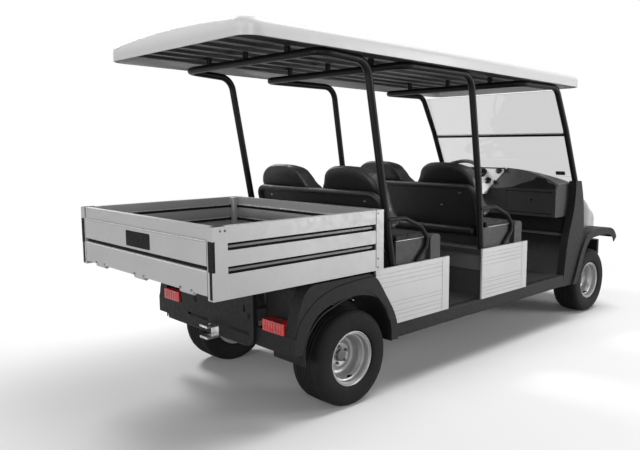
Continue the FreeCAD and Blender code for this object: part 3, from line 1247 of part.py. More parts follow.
def seat_back_panel(x):
    """The hard panel behind the two pads, on a bent tube that stands on the seat base."""
    def upper_corner(edge):
        return along(X)(edge) and edge.CenterOfMass.z > BACK_FOOT

    lean = math.radians(SEAT_LEAN)
    half = FRAME_HALF_WIDTH - FRAME_TUBE_RADIUS
    top = BACK_FOOT + FRAME_LENGTH - FRAME_TUBE_RADIUS
    panel = box(x - RUN_GAP - BACK_PANEL_THICK, x - RUN_GAP, -half, half, BACK_FOOT - BACK_PANEL_DROP, top)
    panel = softened(panel, FRAME_TUBE_BEND, upper_corner)
    rear = x - (FRAME_TUBE_RADIUS + RUN_GAP) / math.cos(lean)
    rise = FRAME_LENGTH - FRAME_TUBE_RADIUS
    one_side = [V(rear, half, SEAT_BASE_TOP), V(rear, half, BACK_FOOT),
                V(rear - rise * math.sin(lean), half, BACK_FOOT + rise * math.cos(lean))]
    other = [V(p.x, -p.y, p.z) for p in reversed(one_side)]
    bends = [FRAME_KNEE_BEND, FRAME_TUBE_BEND, FRAME_TUBE_BEND, FRAME_KNEE_BEND]
    return [fused([leaned(panel, x), tube(one_side + other, bends, FRAME_TUBE_RADIUS)])]


def armrest(x, post_x):
    """A bent loop that leaves the roof's post, runs forward and curls down to the seat base."""
    start = V(post_x, ARM_Y, SEAT_BASE_TOP + ARM_START_HEIGHT)
    points = [start] + [V(x + ahead, ARM_Y, SEAT_BASE_TOP + height) for ahead, height in ARM_LOOP]
    below = box(x, x + HIP_LENGTH, 0, BODY_HALF_WIDTH + CUT, SEAT_BASE_TOP - 2 * ARM_RADIUS, SEAT_BASE_TOP)
    return tube(points, ARM_BENDS, ARM_RADIUS).cut(below)


def side_panel(rear, front):
    top, low = SEAT_BASE_TOP, FLOOR_TOP
    panel = box(rear, front, BODY_HALF_WIDTH, BODY_HALF_WIDTH + PANEL_THICK, low, top)
    outer = BODY_HALF_WIDTH + PANEL_THICK
    for share in PANEL_GROOVE_shares:
        z = low + share * (top - low)
        panel = panel.cut(box(rear - CUT, front - PANEL_TRIM, outer - PANEL_GROOVE_DEPTH, outer + CUT, z,
                              z + PANEL_GROOVE))
    panel = panel.cut(box(front - PANEL_TRIM, front - PANEL_TRIM + PANEL_GROOVE, outer - PANEL_GROOVE_DEPTH,
                          outer + CUT, low - CUT, top + CUT))
    return panel


def side_panels():
    rear_panel = side_panel(SILL_REAR - PANEL_REAR_REACH, REAR_BASE_FRONT + PANEL_FRONT_REACH)
    middle_panel = side_panel(MIDDLE_PANEL_REAR, FRONT_BASE_FRONT + MIDDLE_PANEL_REACH)
    fender = fender_outline(FENDER_INNER_Y, 0).extrude(V(0, FENDER_Y - FENDER_INNER_Y, 0))
    rear_panel = rear_panel.cut(fender)
    return pair(rear_panel) + pair(middle_panel)


# Dashboard and controls

def pillars():
    edges = []
    for shares in (PILLAR_BACK_shares, PILLAR_FRONT_shares):
        places = placed(shares, PILLAR_REAR, PILLAR_LENGTH, PILLAR_BOTTOM, PILLAR_HEIGHT)
        edges.append([V(x, PILLAR_INNER_Y, z) for x, z in places])
    return pair(smooth_face(edges).extrude(V(0, PILLAR_WIDTH, 0)))


def dashboard():
    half = PILLAR_INNER_Y
    profile = [(DASH_REAR, DASH_BOTTOM), (DASH_REAR, DASH_LIP), (DASH_REAR + DASH_RIDGE, DASH_CROWN),
               (DASH_FRONT, DASH_TOP), (DASH_FRONT, DASH_BOTTOM)]
    crown = Part.Arc(V(DASH_REAR, half, DASH_SIDE_TOP), V(DASH_REAR, 0, DASH_CROWN),
                     V(DASH_REAR, -half, DASH_SIDE_TOP)).toShape()
    sides = Part.makePolygon([V(DASH_REAR, -half, DASH_SIDE_TOP), V(DASH_REAR, -half, DASH_BOTTOM),
                              V(DASH_REAR, half, DASH_BOTTOM), V(DASH_REAR, half, DASH_SIDE_TOP)])
    crowned_block = Part.Face(Part.Wire([crown] + sides.Edges)).extrude(V(DASH_FRONT - DASH_REAR, 0, 0))
    body = slab_y(profile, -half, half).common(crowned_block)
    cavity = box(DASH_REAR - CUT, DASH_REAR + GLOVE_DEPTH, -GLOVE_OUTER_Y, -GLOVE_INNER_Y, GLOVE_BOTTOM,
                 GLOVE_TOP)
    body = body.cut(cavity)
    for side in (1, -1):
        body = body.cut(glovebox_pin(side, GLOVE_PIN_RADIUS + RUN_GAP, -CUT, GLOVE_PIN_DEPTH + RUN_GAP))
    return [body]


def glovebox_pin(side, radius, start, stop):
    edge = -GLOVE_INNER_Y if side > 0 else -GLOVE_OUTER_Y
    x, z = DASH_REAR + GLOVE_PIN_INSET, GLOVE_BOTTOM + GLOVE_GAP + GLOVE_PIN_INSET
    return rod(V(x, edge + side * start, z), V(x, edge + side * stop, z), radius)


def glovebox_door():
    z0, z1 = GLOVE_BOTTOM + GLOVE_GAP, GLOVE_TOP - GLOVE_GAP
    y0, y1 = -GLOVE_OUTER_Y + GLOVE_GAP, -GLOVE_INNER_Y - GLOVE_GAP
    door = box(DASH_REAR, DASH_REAR + GLOVE_DOOR_THICK, y0, y1, z0, z1)
    pins = [glovebox_pin(side, GLOVE_PIN_RADIUS, -GLOVE_GAP - CUT, GLOVE_PIN_DEPTH) for side in (1, -1)]
    return [fused([door] + pins)]


def instrument_panel():
    """A raised panel beside the column, with a slanted face and a slanted right edge."""
    foot = DASH_LIP - PANEL_DROP
    ridge = DASH_REAR + DASH_RIDGE
    profile = [(DASH_REAR - PANEL_REACH, foot), (ridge - PANEL_RISE, DASH_CROWN), (ridge, DASH_CROWN),
               (DASH_REAR, DASH_LIP), (DASH_REAR, foot)]
    corner = slab_x([(PANEL_Y0 - CUT, foot - CUT), (PANEL_Y0 + PANEL_SLANT, foot - CUT),
                     (PANEL_Y0, DASH_CROWN), (PANEL_Y0 - CUT, DASH_CROWN)],
                    DASH_REAR - PANEL_REACH - CUT, ridge)
    return [slab_y(profile, PANEL_Y0, PANEL_Y1).cut(corner)]


def steering_wheel():
    tilt = math.radians(STEER_TILT)
    axis = V(-math.sin(tilt), 0, math.cos(tilt))
    centre = V(STEER_X, WHEEL_Y, STEER_Z)
    ring = Part.makeTorus(STEER_RADIUS, STEER_GRIP, centre, axis)
    hub_low = centre - axis * STEER_DISH
    hub = Part.makeCylinder(STEER_HUB_RADIUS, STEER_HUB_HEIGHT, hub_low, axis)
    across = V(math.cos(tilt), 0, math.sin(tilt))
    spokes = []
    for index in range(STEER_SPOKES):
        angle = 2 * math.pi * index / STEER_SPOKES
        direction = across * (-math.cos(angle)) + Y * math.sin(angle)
        start = hub_low + axis * (STEER_HUB_HEIGHT / 2)
        spokes.append(rod(start, centre + direction * STEER_RADIUS, STEER_SPOKE))
    shaft = rod(hub_low + axis * CUT, hub_low - axis * (COLUMN_GAP + SHAFT_DEPTH), SHAFT_RADIUS)
    return [fused([ring, hub, shaft] + spokes)]


def steering_column():
    tilt = math.radians(STEER_TILT)
    axis = V(-math.sin(tilt), 0, math.cos(tilt))
    centre = V(STEER_X, WHEEL_Y, STEER_Z)
    top = centre - axis * (STEER_DISH + COLUMN_GAP)
    bore = rod(top + axis * CUT, top - axis * (SHAFT_DEPTH + COLUMN_GAP), SHAFT_RADIUS + RUN_GAP)
    return [rod(top, top - axis * COLUMN_LENGTH, COLUMN_RADIUS).cut(bore)]


def pedals():
    """Rounded pads that lean towards the toe board, each on a stem that comes out of it."""
    rear, low = TOE_FOOT - PEDAL_BEHIND, FLOOR_TOP + PEDAL_RISE
    lean = math.radians(PEDAL_LEAN)
    slope = (TOE_TOP - TOE_THICK - TOE_FOOT) / (TOE_TOP_Z - FLOOR_TOP)
    solids = []
    for y in PEDAL_YS:
        pad = box(rear, rear + PEDAL_THICK, y, y + PEDAL_WIDTH, low, low + PEDAL_HEIGHT)
        pad = softened(pad, PEDAL_CORNER, along(X))
        pad.rotate(V(rear, 0, low), Y, PEDAL_LEAN)
        half = PEDAL_HEIGHT / 2
        start = V(rear + math.sin(lean) * half, y + PEDAL_WIDTH / 2, low + math.cos(lean) * half)
        board = TOE_FOOT + slope * (start.z - FLOOR_TOP)
        start += V(PEDAL_THICK / 2, 0, 0)
        stem = rod(start, V(board + TOE_THICK / 2, start.y, start.z), PEDAL_STEM_RADIUS)
        solids.append(fused([pad, stem]))
    return solids


# Nose

def nose_section(x, half, top, low, shrink):
    """A closed section with flat sides, round shoulders and a slightly crowned top."""
    corner = NOSE_CORNER_share * (top - low)
    side, high, foot = half - shrink, top - shrink, low - shrink
    shoulder = high - NOSE_CROWN
    inset = corner * (1 - math.sqrt(0.5))
    edges = [
        Part.LineSegment(V(x, -side, foot), V(x, side, foot)).toShape(),
        Part.LineSegment(V(x, side, foot), V(x, side, shoulder - corner)).toShape(),
        Part.Arc(V(x, side, shoulder - corner), V(x, side - inset, shoulder - inset),
                 V(x, side - corner, shoulder)).toShape(),
        Part.Arc(V(x, side - corner, shoulder), V(x, 0, high), V(x, corner - side, shoulder)).toShape(),
        Part.Arc(V(x, corner - side, shoulder), V(x, inset - side, shoulder - inset),
                 V(x, -side, shoulder - corner)).toShape(),
        Part.LineSegment(V(x, -side, shoulder - corner), V(x, -side, foot)).toShape(),
    ]
    return Part.Wire(edges)


def nose_loft(shrink):
    sections = []
    for station, wide, top in zip(NOSE_STATION_shares, NOSE_WIDTH_shares, NOSE_TOPS):
        sections.append(nose_section(NOSE_X0 + station * (NOSE_LENGTH - shrink), NOSE_HALF_WIDTH * wide, top,
                                     NOSE_BOTTOM, shrink))
    return Part.makeLoft(sections, True, False)


def cowl():
    return [nose_loft(0).cut(nose_loft(NOSE_SKIN))]


def headlamps():
    tip = NOSE_X0 + NOSE_LENGTH
    half, rise = HEADLAMP_WIDTH / 2, HEADLAMP_HEIGHT / 2
    lamp = box(tip - HEADLAMP_DEPTH, tip + NOSE_SKIN, HEADLAMP_Y - half, HEADLAMP_Y + half, HEADLAMP_Z - rise,
               HEADLAMP_Z + rise)
    return pair(softened(lamp, HEADLAMP_HEIGHT / 4, along(X)))


def front_bumper():
    bar = box(BUMPER_FRONT - BUMPER_DEPTH, BUMPER_FRONT, -BUMPER_HALF_WIDTH, BUMPER_HALF_WIDTH, BUMPER_BOTTOM,
              BUMPER_TOP)
    middle = BUMPER_FRONT - BUMPER_DEPTH / 2
    bar = softened(bar, BUMPER_CORNER, lambda edge: along(Z)(edge) and edge.CenterOfMass.x > middle)
    arms = pair(box(FRAME_FRONT, BUMPER_FRONT - BUMPER_DEPTH + CUT, RAIL_INNER, RAIL_OUTER, RAIL_BOTTOM,
                    BUMPER_BOTTOM + RAIL_WIDTH))
    plate_rear = NOSE_X0 + NOSE_LENGTH - NOSE_SKIN - RUN_GAP - FASCIA_THICK
    plate = box(plate_rear, plate_rear + FASCIA_THICK, -FASCIA_HALF_WIDTH, FASCIA_HALF_WIDTH,
                BUMPER_TOP - FASCIA_CORNER, NOSE_BOTTOM + NOSE_SKIN)
    return [fused([bar, plate] + arms)]


def front_fenders():
    outer = placed(GUARD_OUTER_shares, GUARD_REAR, GUARD_LENGTH, GUARD_BOTTOM, GUARD_HEIGHT)
    strips = []
    for width, y0 in ((GUARD_LIP, GUARD_Y - GUARD_SKIN), (GUARD_SKIN, GUARD_INNER_Y)):
        edges = [[V(x, y0, z) for x, z in edge] for edge in ribbon(outer, width)]
        strips.append(smooth_face(edges).extrude(V(0, GUARD_Y - y0, 0)))
    below = box(GUARD_REAR, GUARD_REAR + GUARD_LENGTH, 0, GUARD_Y + CUT, GUARD_BOTTOM - GUARD_LIP,
                GUARD_BOTTOM)
    return pair(fused(strips).cut(below))


# Pieces that are cut to the shape of the neighbours that they are fixed to
TRIMMED_BY = [
    ("seat_bars", ["frame_rails"]),
    ("frame_brackets", ["frame_rails"]),
    ("floor", ["seat_bars", "screen_pillars"]),
    ("screen_pillars", ["side_sills"]),
    ("roof_hoops", ["seat_bars", "screen_pillars"]),
    ("front_fenders", ["screen_pillars"]),
    ("dashboard", ["steering_column", "screen_pillars"]),
    ("instrument_panel", ["steering_column"]),
    ("cowl", ["headlamps"]),
    ("pedals", ["floor"]),
    ("roof_liner", ["roof_shell"]),
    ("roof_hoops", ["roof_liner"]),
    ("windscreen_panes", ["roof_hoops"]),
    ("windscreen_rail", ["roof_hoops"]),
    ("bed_channels", ["bed_front_wall"]),
    ("armrests", ["seat_bases", "roof_hoops"]),
    ("side_panels", ["rear_fenders"]),
    ("rear_body", ["rear_fenders"]),
]


def trimmed(solid, neighbours):
    """What is left of a solid outside its neighbours. It cuts with copies, since a cut can alter its tool."""
    for neighbour in neighbours:
        if solid.BoundBox.intersect(neighbour.BoundBox):
            solid = solid.cut(neighbour.copy())
    return solid


def everything():
    nodes = {}
    nodes["frame_rails"] = frame_rails()
    nodes["frame_members"] = frame_members()
    nodes["seat_bars"] = seat_bars()
    nodes["frame_brackets"] = frame_brackets()
    nodes["rear_axle"] = rear_axle()
    nodes["rear_springs"] = rear_springs()
    nodes["engine"] = engine()
    nodes["floor"] = floor()
    nodes["side_sills"] = side_sills()
    nodes["front_axle"] = front_axle()
    nodes["front_shocks"] = front_shocks()
    left = knuckle()
    nodes["knuckle_left"] = [left]
    nodes["knuckle_right"] = [mirrored(left)]
    nodes["tie_rod"] = tie_rod()
    nodes["rear_fenders"] = rear_fenders()
    nodes["rear_body"] = rear_body()
    nodes["tail_lamps"] = tail_lamps()
    nodes["tow_hitch"] = tow_hitch()
    nodes["bed_floor"] = bed_floor()
    nodes["bed_channels"] = bed_channels()
    nodes["bed_side_walls"] = bed_side_walls()
    nodes["bed_front_wall"] = bed_front_wall()
    nodes["bed_corner_posts"] = bed_corner_posts()
    nodes["bed_latches"] = bed_latches()
    nodes["tailgate"] = tailgate()
    nodes["roof_shell"] = roof_shell()
    nodes["roof_liner"] = roof_liner()
    nodes["roof_hoops"] = [hoop(*places) for places in (REAR_HOOP, MIDDLE_HOOP, FRONT_HOOP)]
    nodes.update(windscreen())
    nodes["seat_bases"] = [seat_base(REAR_BASE_REAR, REAR_BASE_FRONT, REAR_BACK_X, False),
                           seat_base(FRONT_BASE_REAR, FRONT_BASE_FRONT, FRONT_BACK_X, True)]
    nodes["seat_cushions"] = [cushion(REAR_BACK_X, REAR_BASE_FRONT + CUSHION_NOSE),
                              cushion(FRONT_BACK_X, FRONT_BASE_FRONT + CUSHION_NOSE)]
    nodes["seat_backs"] = seat_back(REAR_BACK_X) + seat_back(FRONT_BACK_X)
    nodes["seat_back_panels"] = seat_back_panel(REAR_BACK_X) + seat_back_panel(FRONT_BACK_X)
    nodes["armrests"] = (pair(armrest(REAR_BACK_X, REAR_HOOP[1][0]))
                         + pair(armrest(FRONT_BACK_X, MIDDLE_HOOP[1][0])))
    nodes["side_panels"] = side_panels()
    nodes["screen_pillars"] = pillars()
    nodes["dashboard"] = dashboard()
    nodes["glovebox_door"] = glovebox_door()
    nodes["instrument_panel"] = instrument_panel()
    nodes["steering_wheel"] = steering_wheel()
    nodes["steering_column"] = steering_column()
    nodes["pedals"] = pedals()
    nodes["headlamps"] = headlamps()
    nodes["cowl"] = cowl()
    nodes["front_bumper"] = front_bumper()
    nodes["front_fenders"] = front_fenders()
    nodes.update(wheel_set())
    for name, neighbours in TRIMMED_BY:
        for neighbour in neighbours:
            nodes[name] = [trimmed(solid, nodes[neighbour]) for solid in nodes[name]]
    nose = nose_loft(0)
    nodes["front_fenders"] = [solid.cut(nose) for solid in nodes["front_fenders"]]
    return nodes


def main():
    for name, solids in everything().items():
        shape = Part.makeCompound(solids) if len(solids) > 1 else solids[0]
        shape.translate(V(ORIGIN_SHIFT, 0, 0))
        shape.exportStep("parts/%s.step" % name)
        box_size = shape.BoundBox
        print(name, len(shape.Solids), shape.isValid(), round(shape.Volume / 1e9, 5),
              [round(v) for v in (box_size.XMin, box_size.XMax, box_size.YMin, box_size.YMax, box_size.ZMin,
                                  box_size.ZMax)])


main()
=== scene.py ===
import math
from contextlib import contextmanager

import bpy
import numpy as np
from mathutils import Matrix, Vector


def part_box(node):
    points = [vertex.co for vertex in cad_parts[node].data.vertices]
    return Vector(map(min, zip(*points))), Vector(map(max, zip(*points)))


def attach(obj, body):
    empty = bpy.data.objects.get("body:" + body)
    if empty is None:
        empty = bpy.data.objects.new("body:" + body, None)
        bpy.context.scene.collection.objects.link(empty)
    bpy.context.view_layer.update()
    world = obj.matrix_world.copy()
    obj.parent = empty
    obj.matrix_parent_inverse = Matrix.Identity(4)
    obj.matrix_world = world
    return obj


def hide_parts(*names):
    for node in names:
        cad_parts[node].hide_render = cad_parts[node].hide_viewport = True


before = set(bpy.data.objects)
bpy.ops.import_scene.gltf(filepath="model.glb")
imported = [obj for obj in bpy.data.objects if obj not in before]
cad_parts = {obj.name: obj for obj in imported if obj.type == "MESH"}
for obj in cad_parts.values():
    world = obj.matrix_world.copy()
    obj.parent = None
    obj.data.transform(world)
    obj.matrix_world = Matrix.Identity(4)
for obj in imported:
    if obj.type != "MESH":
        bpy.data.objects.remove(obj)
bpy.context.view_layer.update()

bl_info = {
    "name": "Utility Cart",
    "version": (1, 0, 0),
    "blender": (4, 5, 0),
    "location": "View3D > Sidebar > Cart",
    "description": "Dresses a four-seat utility cart with a load bed",
    "category": "Object",
}

SIDES = (1, -1)


# Places on the frame

def middle(node):
    low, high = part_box(node)
    return (low + high) / 2


AXLE = middle("tyre_rear_left").x


def at(x, y, z):
    """A point from its station ahead of the rear axle, its place across and its height."""
    return Vector((AXLE + x, y, z))


# Shaping

def settled_mode():
    if bpy.context.object and bpy.context.object.mode != "OBJECT":
        bpy.ops.object.mode_set(mode="OBJECT")
    bpy.ops.object.select_all(action="DESELECT")


def only(piece):
    settled_mode()
    piece.select_set(True)
    bpy.context.view_layer.objects.active = piece
    return piece


def removed(piece):
    only(piece)
    bpy.ops.object.delete()


@contextmanager
def editing(piece, whole=True):
    """Edit mode for as long as the block runs, with the whole mesh selected at its start, or nothing."""
    only(piece)
    bpy.ops.object.mode_set(mode="EDIT")
    bpy.ops.mesh.select_all(action="DESELECT")
    if whole:
        bpy.ops.mesh.select_all(action="SELECT")
    yield
    bpy.ops.object.mode_set(mode="OBJECT")


def turned_out():
    bpy.ops.mesh.select_all(action="SELECT")
    bpy.ops.mesh.normals_make_consistent(inside=False)


def placed(piece):
    only(piece)
    bpy.ops.object.transform_apply(location=True, rotation=True, scale=True)
    return piece


def named(name):
    """The piece that was just made, under its name."""
    piece = bpy.context.object
    piece.name = name
    return piece


def block(name, low, high):
    """A box between two corners."""
    settled_mode()
    low, high = Vector(low), Vector(high)
    bpy.ops.mesh.primitive_cube_add(size=1, location=(low + high) / 2, scale=high - low)
    return placed(named(name))


def drawn(name, points, closed=True):
    """A run of edges drawn by extruding one vertex from point to point."""
    settled_mode()
    bpy.ops.mesh.primitive_plane_add(size=1, location=(0, 0, 0))
    piece = named(name)
    with editing(piece):
        bpy.ops.mesh.merge(type="CENTER")
        bpy.ops.transform.translate(value=points[0])
        for here, there in zip(points, points[1:]):
            bpy.ops.mesh.extrude_vertices_move(TRANSFORM_OT_translate={"value": Vector(there) - Vector(here)})
        if closed:
            bpy.ops.mesh.select_all(action="SELECT")
            bpy.ops.mesh.edge_face_add()
    return piece


def extruded(piece, step):
    """The whole drawn face or line, extruded by one step, with its faces turned outwards."""
    with editing(piece):
        bpy.ops.mesh.extrude_region_move(TRANSFORM_OT_translate={"value": step})
        turned_out()
    return piece


def applied(piece, kind, **settings):
    """A modifier with these settings, applied."""
    only(piece)
    modifier = piece.modifiers.new(kind.title(), kind)
    for key, value in settings.items():
        setattr(modifier, key, value)
    bpy.ops.object.modifier_apply(modifier=modifier.name)
    return piece


def eased(piece, width, segments=2, angle=35):
    """Its sharp edges, rounded."""
    return applied(piece, "BEVEL", width=width, segments=segments, limit_method="ANGLE",
                   angle_limit=math.radians(angle))


def soft_block(name, low, high, width, segments=2):
    """A box between two corners, with rounded edges."""
    return eased(block(name, low, high), width, segments)


def corner_rounded(piece, radius, chosen, segments):
    """Drawn corners rounded by bevelling the vertices that are chosen."""
    with editing(piece, whole=False):
        bpy.ops.object.mode_set(mode="OBJECT")
        for vertex in piece.data.vertices:
            vertex.select = chosen(vertex.co)
        bpy.ops.object.mode_set(mode="EDIT")
        bpy.ops.mesh.bevel(offset=radius, segments=segments, affect="VERTICES")
    return piece


def bent_line(name, points, bend, segments):
    """Drawn edges whose corners between the two ends are rounded."""
    piece = drawn(name, points, closed=False)
    ends = (Vector(points[0]), Vector(points[-1]))
    near = 0.0005
    return corner_rounded(piece, bend, lambda co: min((co - end).length for end in ends) > near, segments)


def spun(name, profile, centre, steps):
    """A ring turned about the Y axis through a centre, from points (across, radius)."""
    piece = drawn(name, [centre + Vector((0, across, radius)) for across, radius in profile], closed=False)
    with editing(piece):
        bpy.ops.mesh.spin(steps=steps, angle=math.tau, center=centre, axis=(0, 1, 0), use_auto_merge=True)
        bpy.ops.mesh.select_all(action="SELECT")
        bpy.ops.mesh.remove_doubles(threshold=0.00005)
        turned_out()
    return piece


def thickened(name, radius, ring):
    """The active curve, made a round bar."""
    line = bpy.context.object.data
    line.bevel_depth = radius
    line.bevel_resolution = ring
    line.use_fill_caps = True
    bpy.ops.object.convert(target="MESH")
    return named(name)


def rounded_bar(piece, radius, ring):
    """A drawn line turned into a round bar."""
    name = piece.name
    only(piece)
    bpy.ops.object.convert(target="CURVE")
    return thickened(name, radius, ring)


def tube(name, points, radius, bend=0.0, ring=3):
    """A round bar along drawn edges whose inner corners are bent."""
    line = bent_line(name, points, bend, 8) if bend else drawn(name, points, closed=False)
    return rounded_bar(line, radius, ring)


def flowing(name, points, radius):
    """A round bar along one smooth curve."""
    settled_mode()
    bpy.ops.curve.primitive_bezier_curve_add(location=(0, 0, 0))
    piece = named(name)
    line = piece.data.splines[0]
    line.bezier_points.add(len(points) - 2)
    for knot, point in zip(line.bezier_points, points):
        knot.co = point
    for knot in line.bezier_points:
        knot.handle_left_type = knot.handle_right_type = "AUTO"
    piece.data.resolution_u = 8
    return thickened(name, radius, 4)


def smooth_outline(points, steps=6):
    """Points of a smooth closed curve through a few knots."""
    count = len(points)
    line = []
    for index in range(count):
        a, b, c, d = (Vector(points[(index + k) % count]) for k in (-1, 0, 1, 2))
        for step in range(steps):
            t = step / steps
            line.append(0.5 * ((2 * b) + (c - a) * t + (2 * a - 5 * b + 4 * c - d) * t * t
                               + (3 * b - a - 3 * c + d) * t * t * t))
    return line


def drum(name, start, end, radius, sides=24):
    """A short cylinder between two points."""
    settled_mode()
    start, end = Vector(start), Vector(end)
    line = end - start
    bpy.ops.mesh.primitive_cylinder_add(vertices=sides, radius=radius, depth=line.length,
                                        location=(start + end) / 2,
                                        rotation=line.to_track_quat("Z", "Y").to_euler())
    return placed(named(name))


def bolt(foot, way, radius, height=0.004):
    """A small domed screw head."""
    foot, way = Vector(foot), Vector(way).normalized()
    return eased(drum("head", foot - way * height, foot + way * height, radius, 16), height * 0.7)


def joined(name, pieces):
    settled_mode()
    for piece in pieces:
        piece.select_set(True)
    bpy.context.view_layer.objects.active = pieces[0]
    if len(pieces) > 1:
        bpy.ops.object.join()
    return named(name)


def copied(piece, name, step=(0, 0, 0)):
    """A copy with its own mesh, moved by one step."""
    only(piece)
    bpy.ops.object.duplicate(linked=False)
    copy = named(name)
    copy.location = copy.location + Vector(step)
    return placed(copy)


def mirrored(piece, name):
    """A copy for the other side of the cart."""
    copy = copied(piece, name)
    copy.scale = (1, -1, 1)
    placed(copy)
    with editing(copy):
        turned_out()
    return copy


PADDING_FRAMES = 20
PADDING_PRESSURE = 4.0


def swollen(piece, voxel, cap, rounds=4):
    """Padding: the closed shape is remeshed, blown up a little under its cover and smoothed."""
    applied(piece, "REMESH", mode="VOXEL", voxel_size=voxel)
    count = len(piece.data.vertices)
    start = np.empty(count * 3)
    piece.data.vertices.foreach_get("co", start)
    only(piece)
    cloth = piece.modifiers.new("Cover", "CLOTH")
    cloth.settings.quality = 4
    cloth.settings.use_pressure = True
    cloth.settings.uniform_pressure_force = PADDING_PRESSURE
    cloth.settings.effector_weights.gravity = 0.0
    cloth.point_cache.frame_start = 1
    cloth.point_cache.frame_end = PADDING_FRAMES
    for number in range(PADDING_FRAMES):
        bpy.context.scene.frame_set(number + 1)
    bpy.ops.object.modifier_apply(modifier=cloth.name)
    bpy.context.scene.frame_set(1)
    end = np.empty(count * 3)
    piece.data.vertices.foreach_get("co", end)
    move = (end - start).reshape(-1, 3)
    length = np.linalg.norm(move, axis=1, keepdims=True)
    move *= np.minimum(1.0, cap / np.maximum(length, 1e-9))
    piece.data.vertices.foreach_set("co", start + move.reshape(-1))
    piece.data.update()
    applied(piece, "SMOOTH", factor=0.5, iterations=rounds)
    return applied(piece, "SUBSURF", levels=1, render_levels=1)


def done(piece, finish, body, slot_name, *nodes, angle=32):
    """The finished piece: smooth shading, its material, its body and what it stands for. Its slot name is not
    used.
    """
    only(piece)
    bpy.ops.object.shade_smooth_by_angle(angle=math.radians(angle))
    piece.data.materials.clear()
    piece.data.materials.append(FINISH[finish])
    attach(piece, body)
    if nodes:
        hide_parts(*nodes)
    return piece


def both_done(left, finish, body, slot_name, angle=32):
    """A finished left piece and its mirror image."""
    for piece in (left, mirrored(left, left.name.replace("left", "right"))):
        done(piece, finish, body, slot_name, angle=angle)


def dressed(finish, *nodes):
    """Solids that stay as they are, with a better finish."""
    for node in nodes:
        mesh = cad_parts[node].data
        if not mesh.materials:
            mesh.materials.append(FINISH[finish])
        for index in range(len(mesh.materials)):
            mesh.materials[index] = FINISH[finish]


# Shading

def add(tree, kind, values=None, **settings):
    """A node with its settings, and with a value or a link at each input."""
    made = tree.nodes.new(kind)
    for key, value in settings.items():
        setattr(made, key, value)
    for key, value in (values or {}).items():
        if isinstance(value, bpy.types.NodeSocket):
            tree.links.new(value, made.inputs[key])
        else:
            made.inputs[key].default_value = value
    return made


def maths(tree, operation, first, second):
    return add(tree, "ShaderNodeMath", {0: first, 1: second}, operation=operation).outputs[0]


def vector_maths(tree, operation, values):
    return add(tree, "ShaderNodeVectorMath", values, operation=operation).outputs


def ranged(tree, value, low=0.0, high=1.0, to_low=0.0, to_high=1.0, **settings):
    """A value whose run from low to high is spread over another run."""
    values = {"Value": value, "From Min": low, "From Max": high, "To Min": to_low, "To Max": to_high}
    return add(tree, "ShaderNodeMapRange", values, **settings).outputs["Result"]


def mixed(tree, factor, first, second):
    """One colour that turns into another by a factor."""
    return add(tree, "ShaderNodeMix", {"Factor": factor, 6: first, 7: second}, data_type="RGBA").outputs[2]


def clouds(tree, place, scale, detail):
    return add(tree, "ShaderNodeTexNoise", {"Vector": place, "Scale": scale, "Detail": detail}).outputs


def cells(tree, place, scale, **settings):
    made = add(tree, "ShaderNodeTexVoronoi", {"Vector": place, "Scale": scale}, **settings)
    return made.outputs["Distance"]


def effect(tree, name, values):
    return add(tree, "ShaderNodeGroup", values, node_tree=bpy.data.node_groups[name]).outputs


def new_group(name, inputs, outputs):
    """An empty effect. An input without a value is a place, and the output Normal is a direction."""
    tree = bpy.data.node_groups.new(name, "ShaderNodeTree")
    for label, default in inputs.items():
        kind = "NodeSocketVector" if default is None else "NodeSocketFloat"
        socket = tree.interface.new_socket(label, in_out="INPUT", socket_type=kind)
        if default is not None:
            socket.default_value = default
    for label in outputs:
        kind = "NodeSocketVector" if label == "Normal" else "NodeSocketFloat"
        tree.interface.new_socket(label, in_out="OUTPUT", socket_type=kind)
    return tree, tree.nodes.new("NodeGroupInput").outputs, tree.nodes.new("NodeGroupOutput").inputs


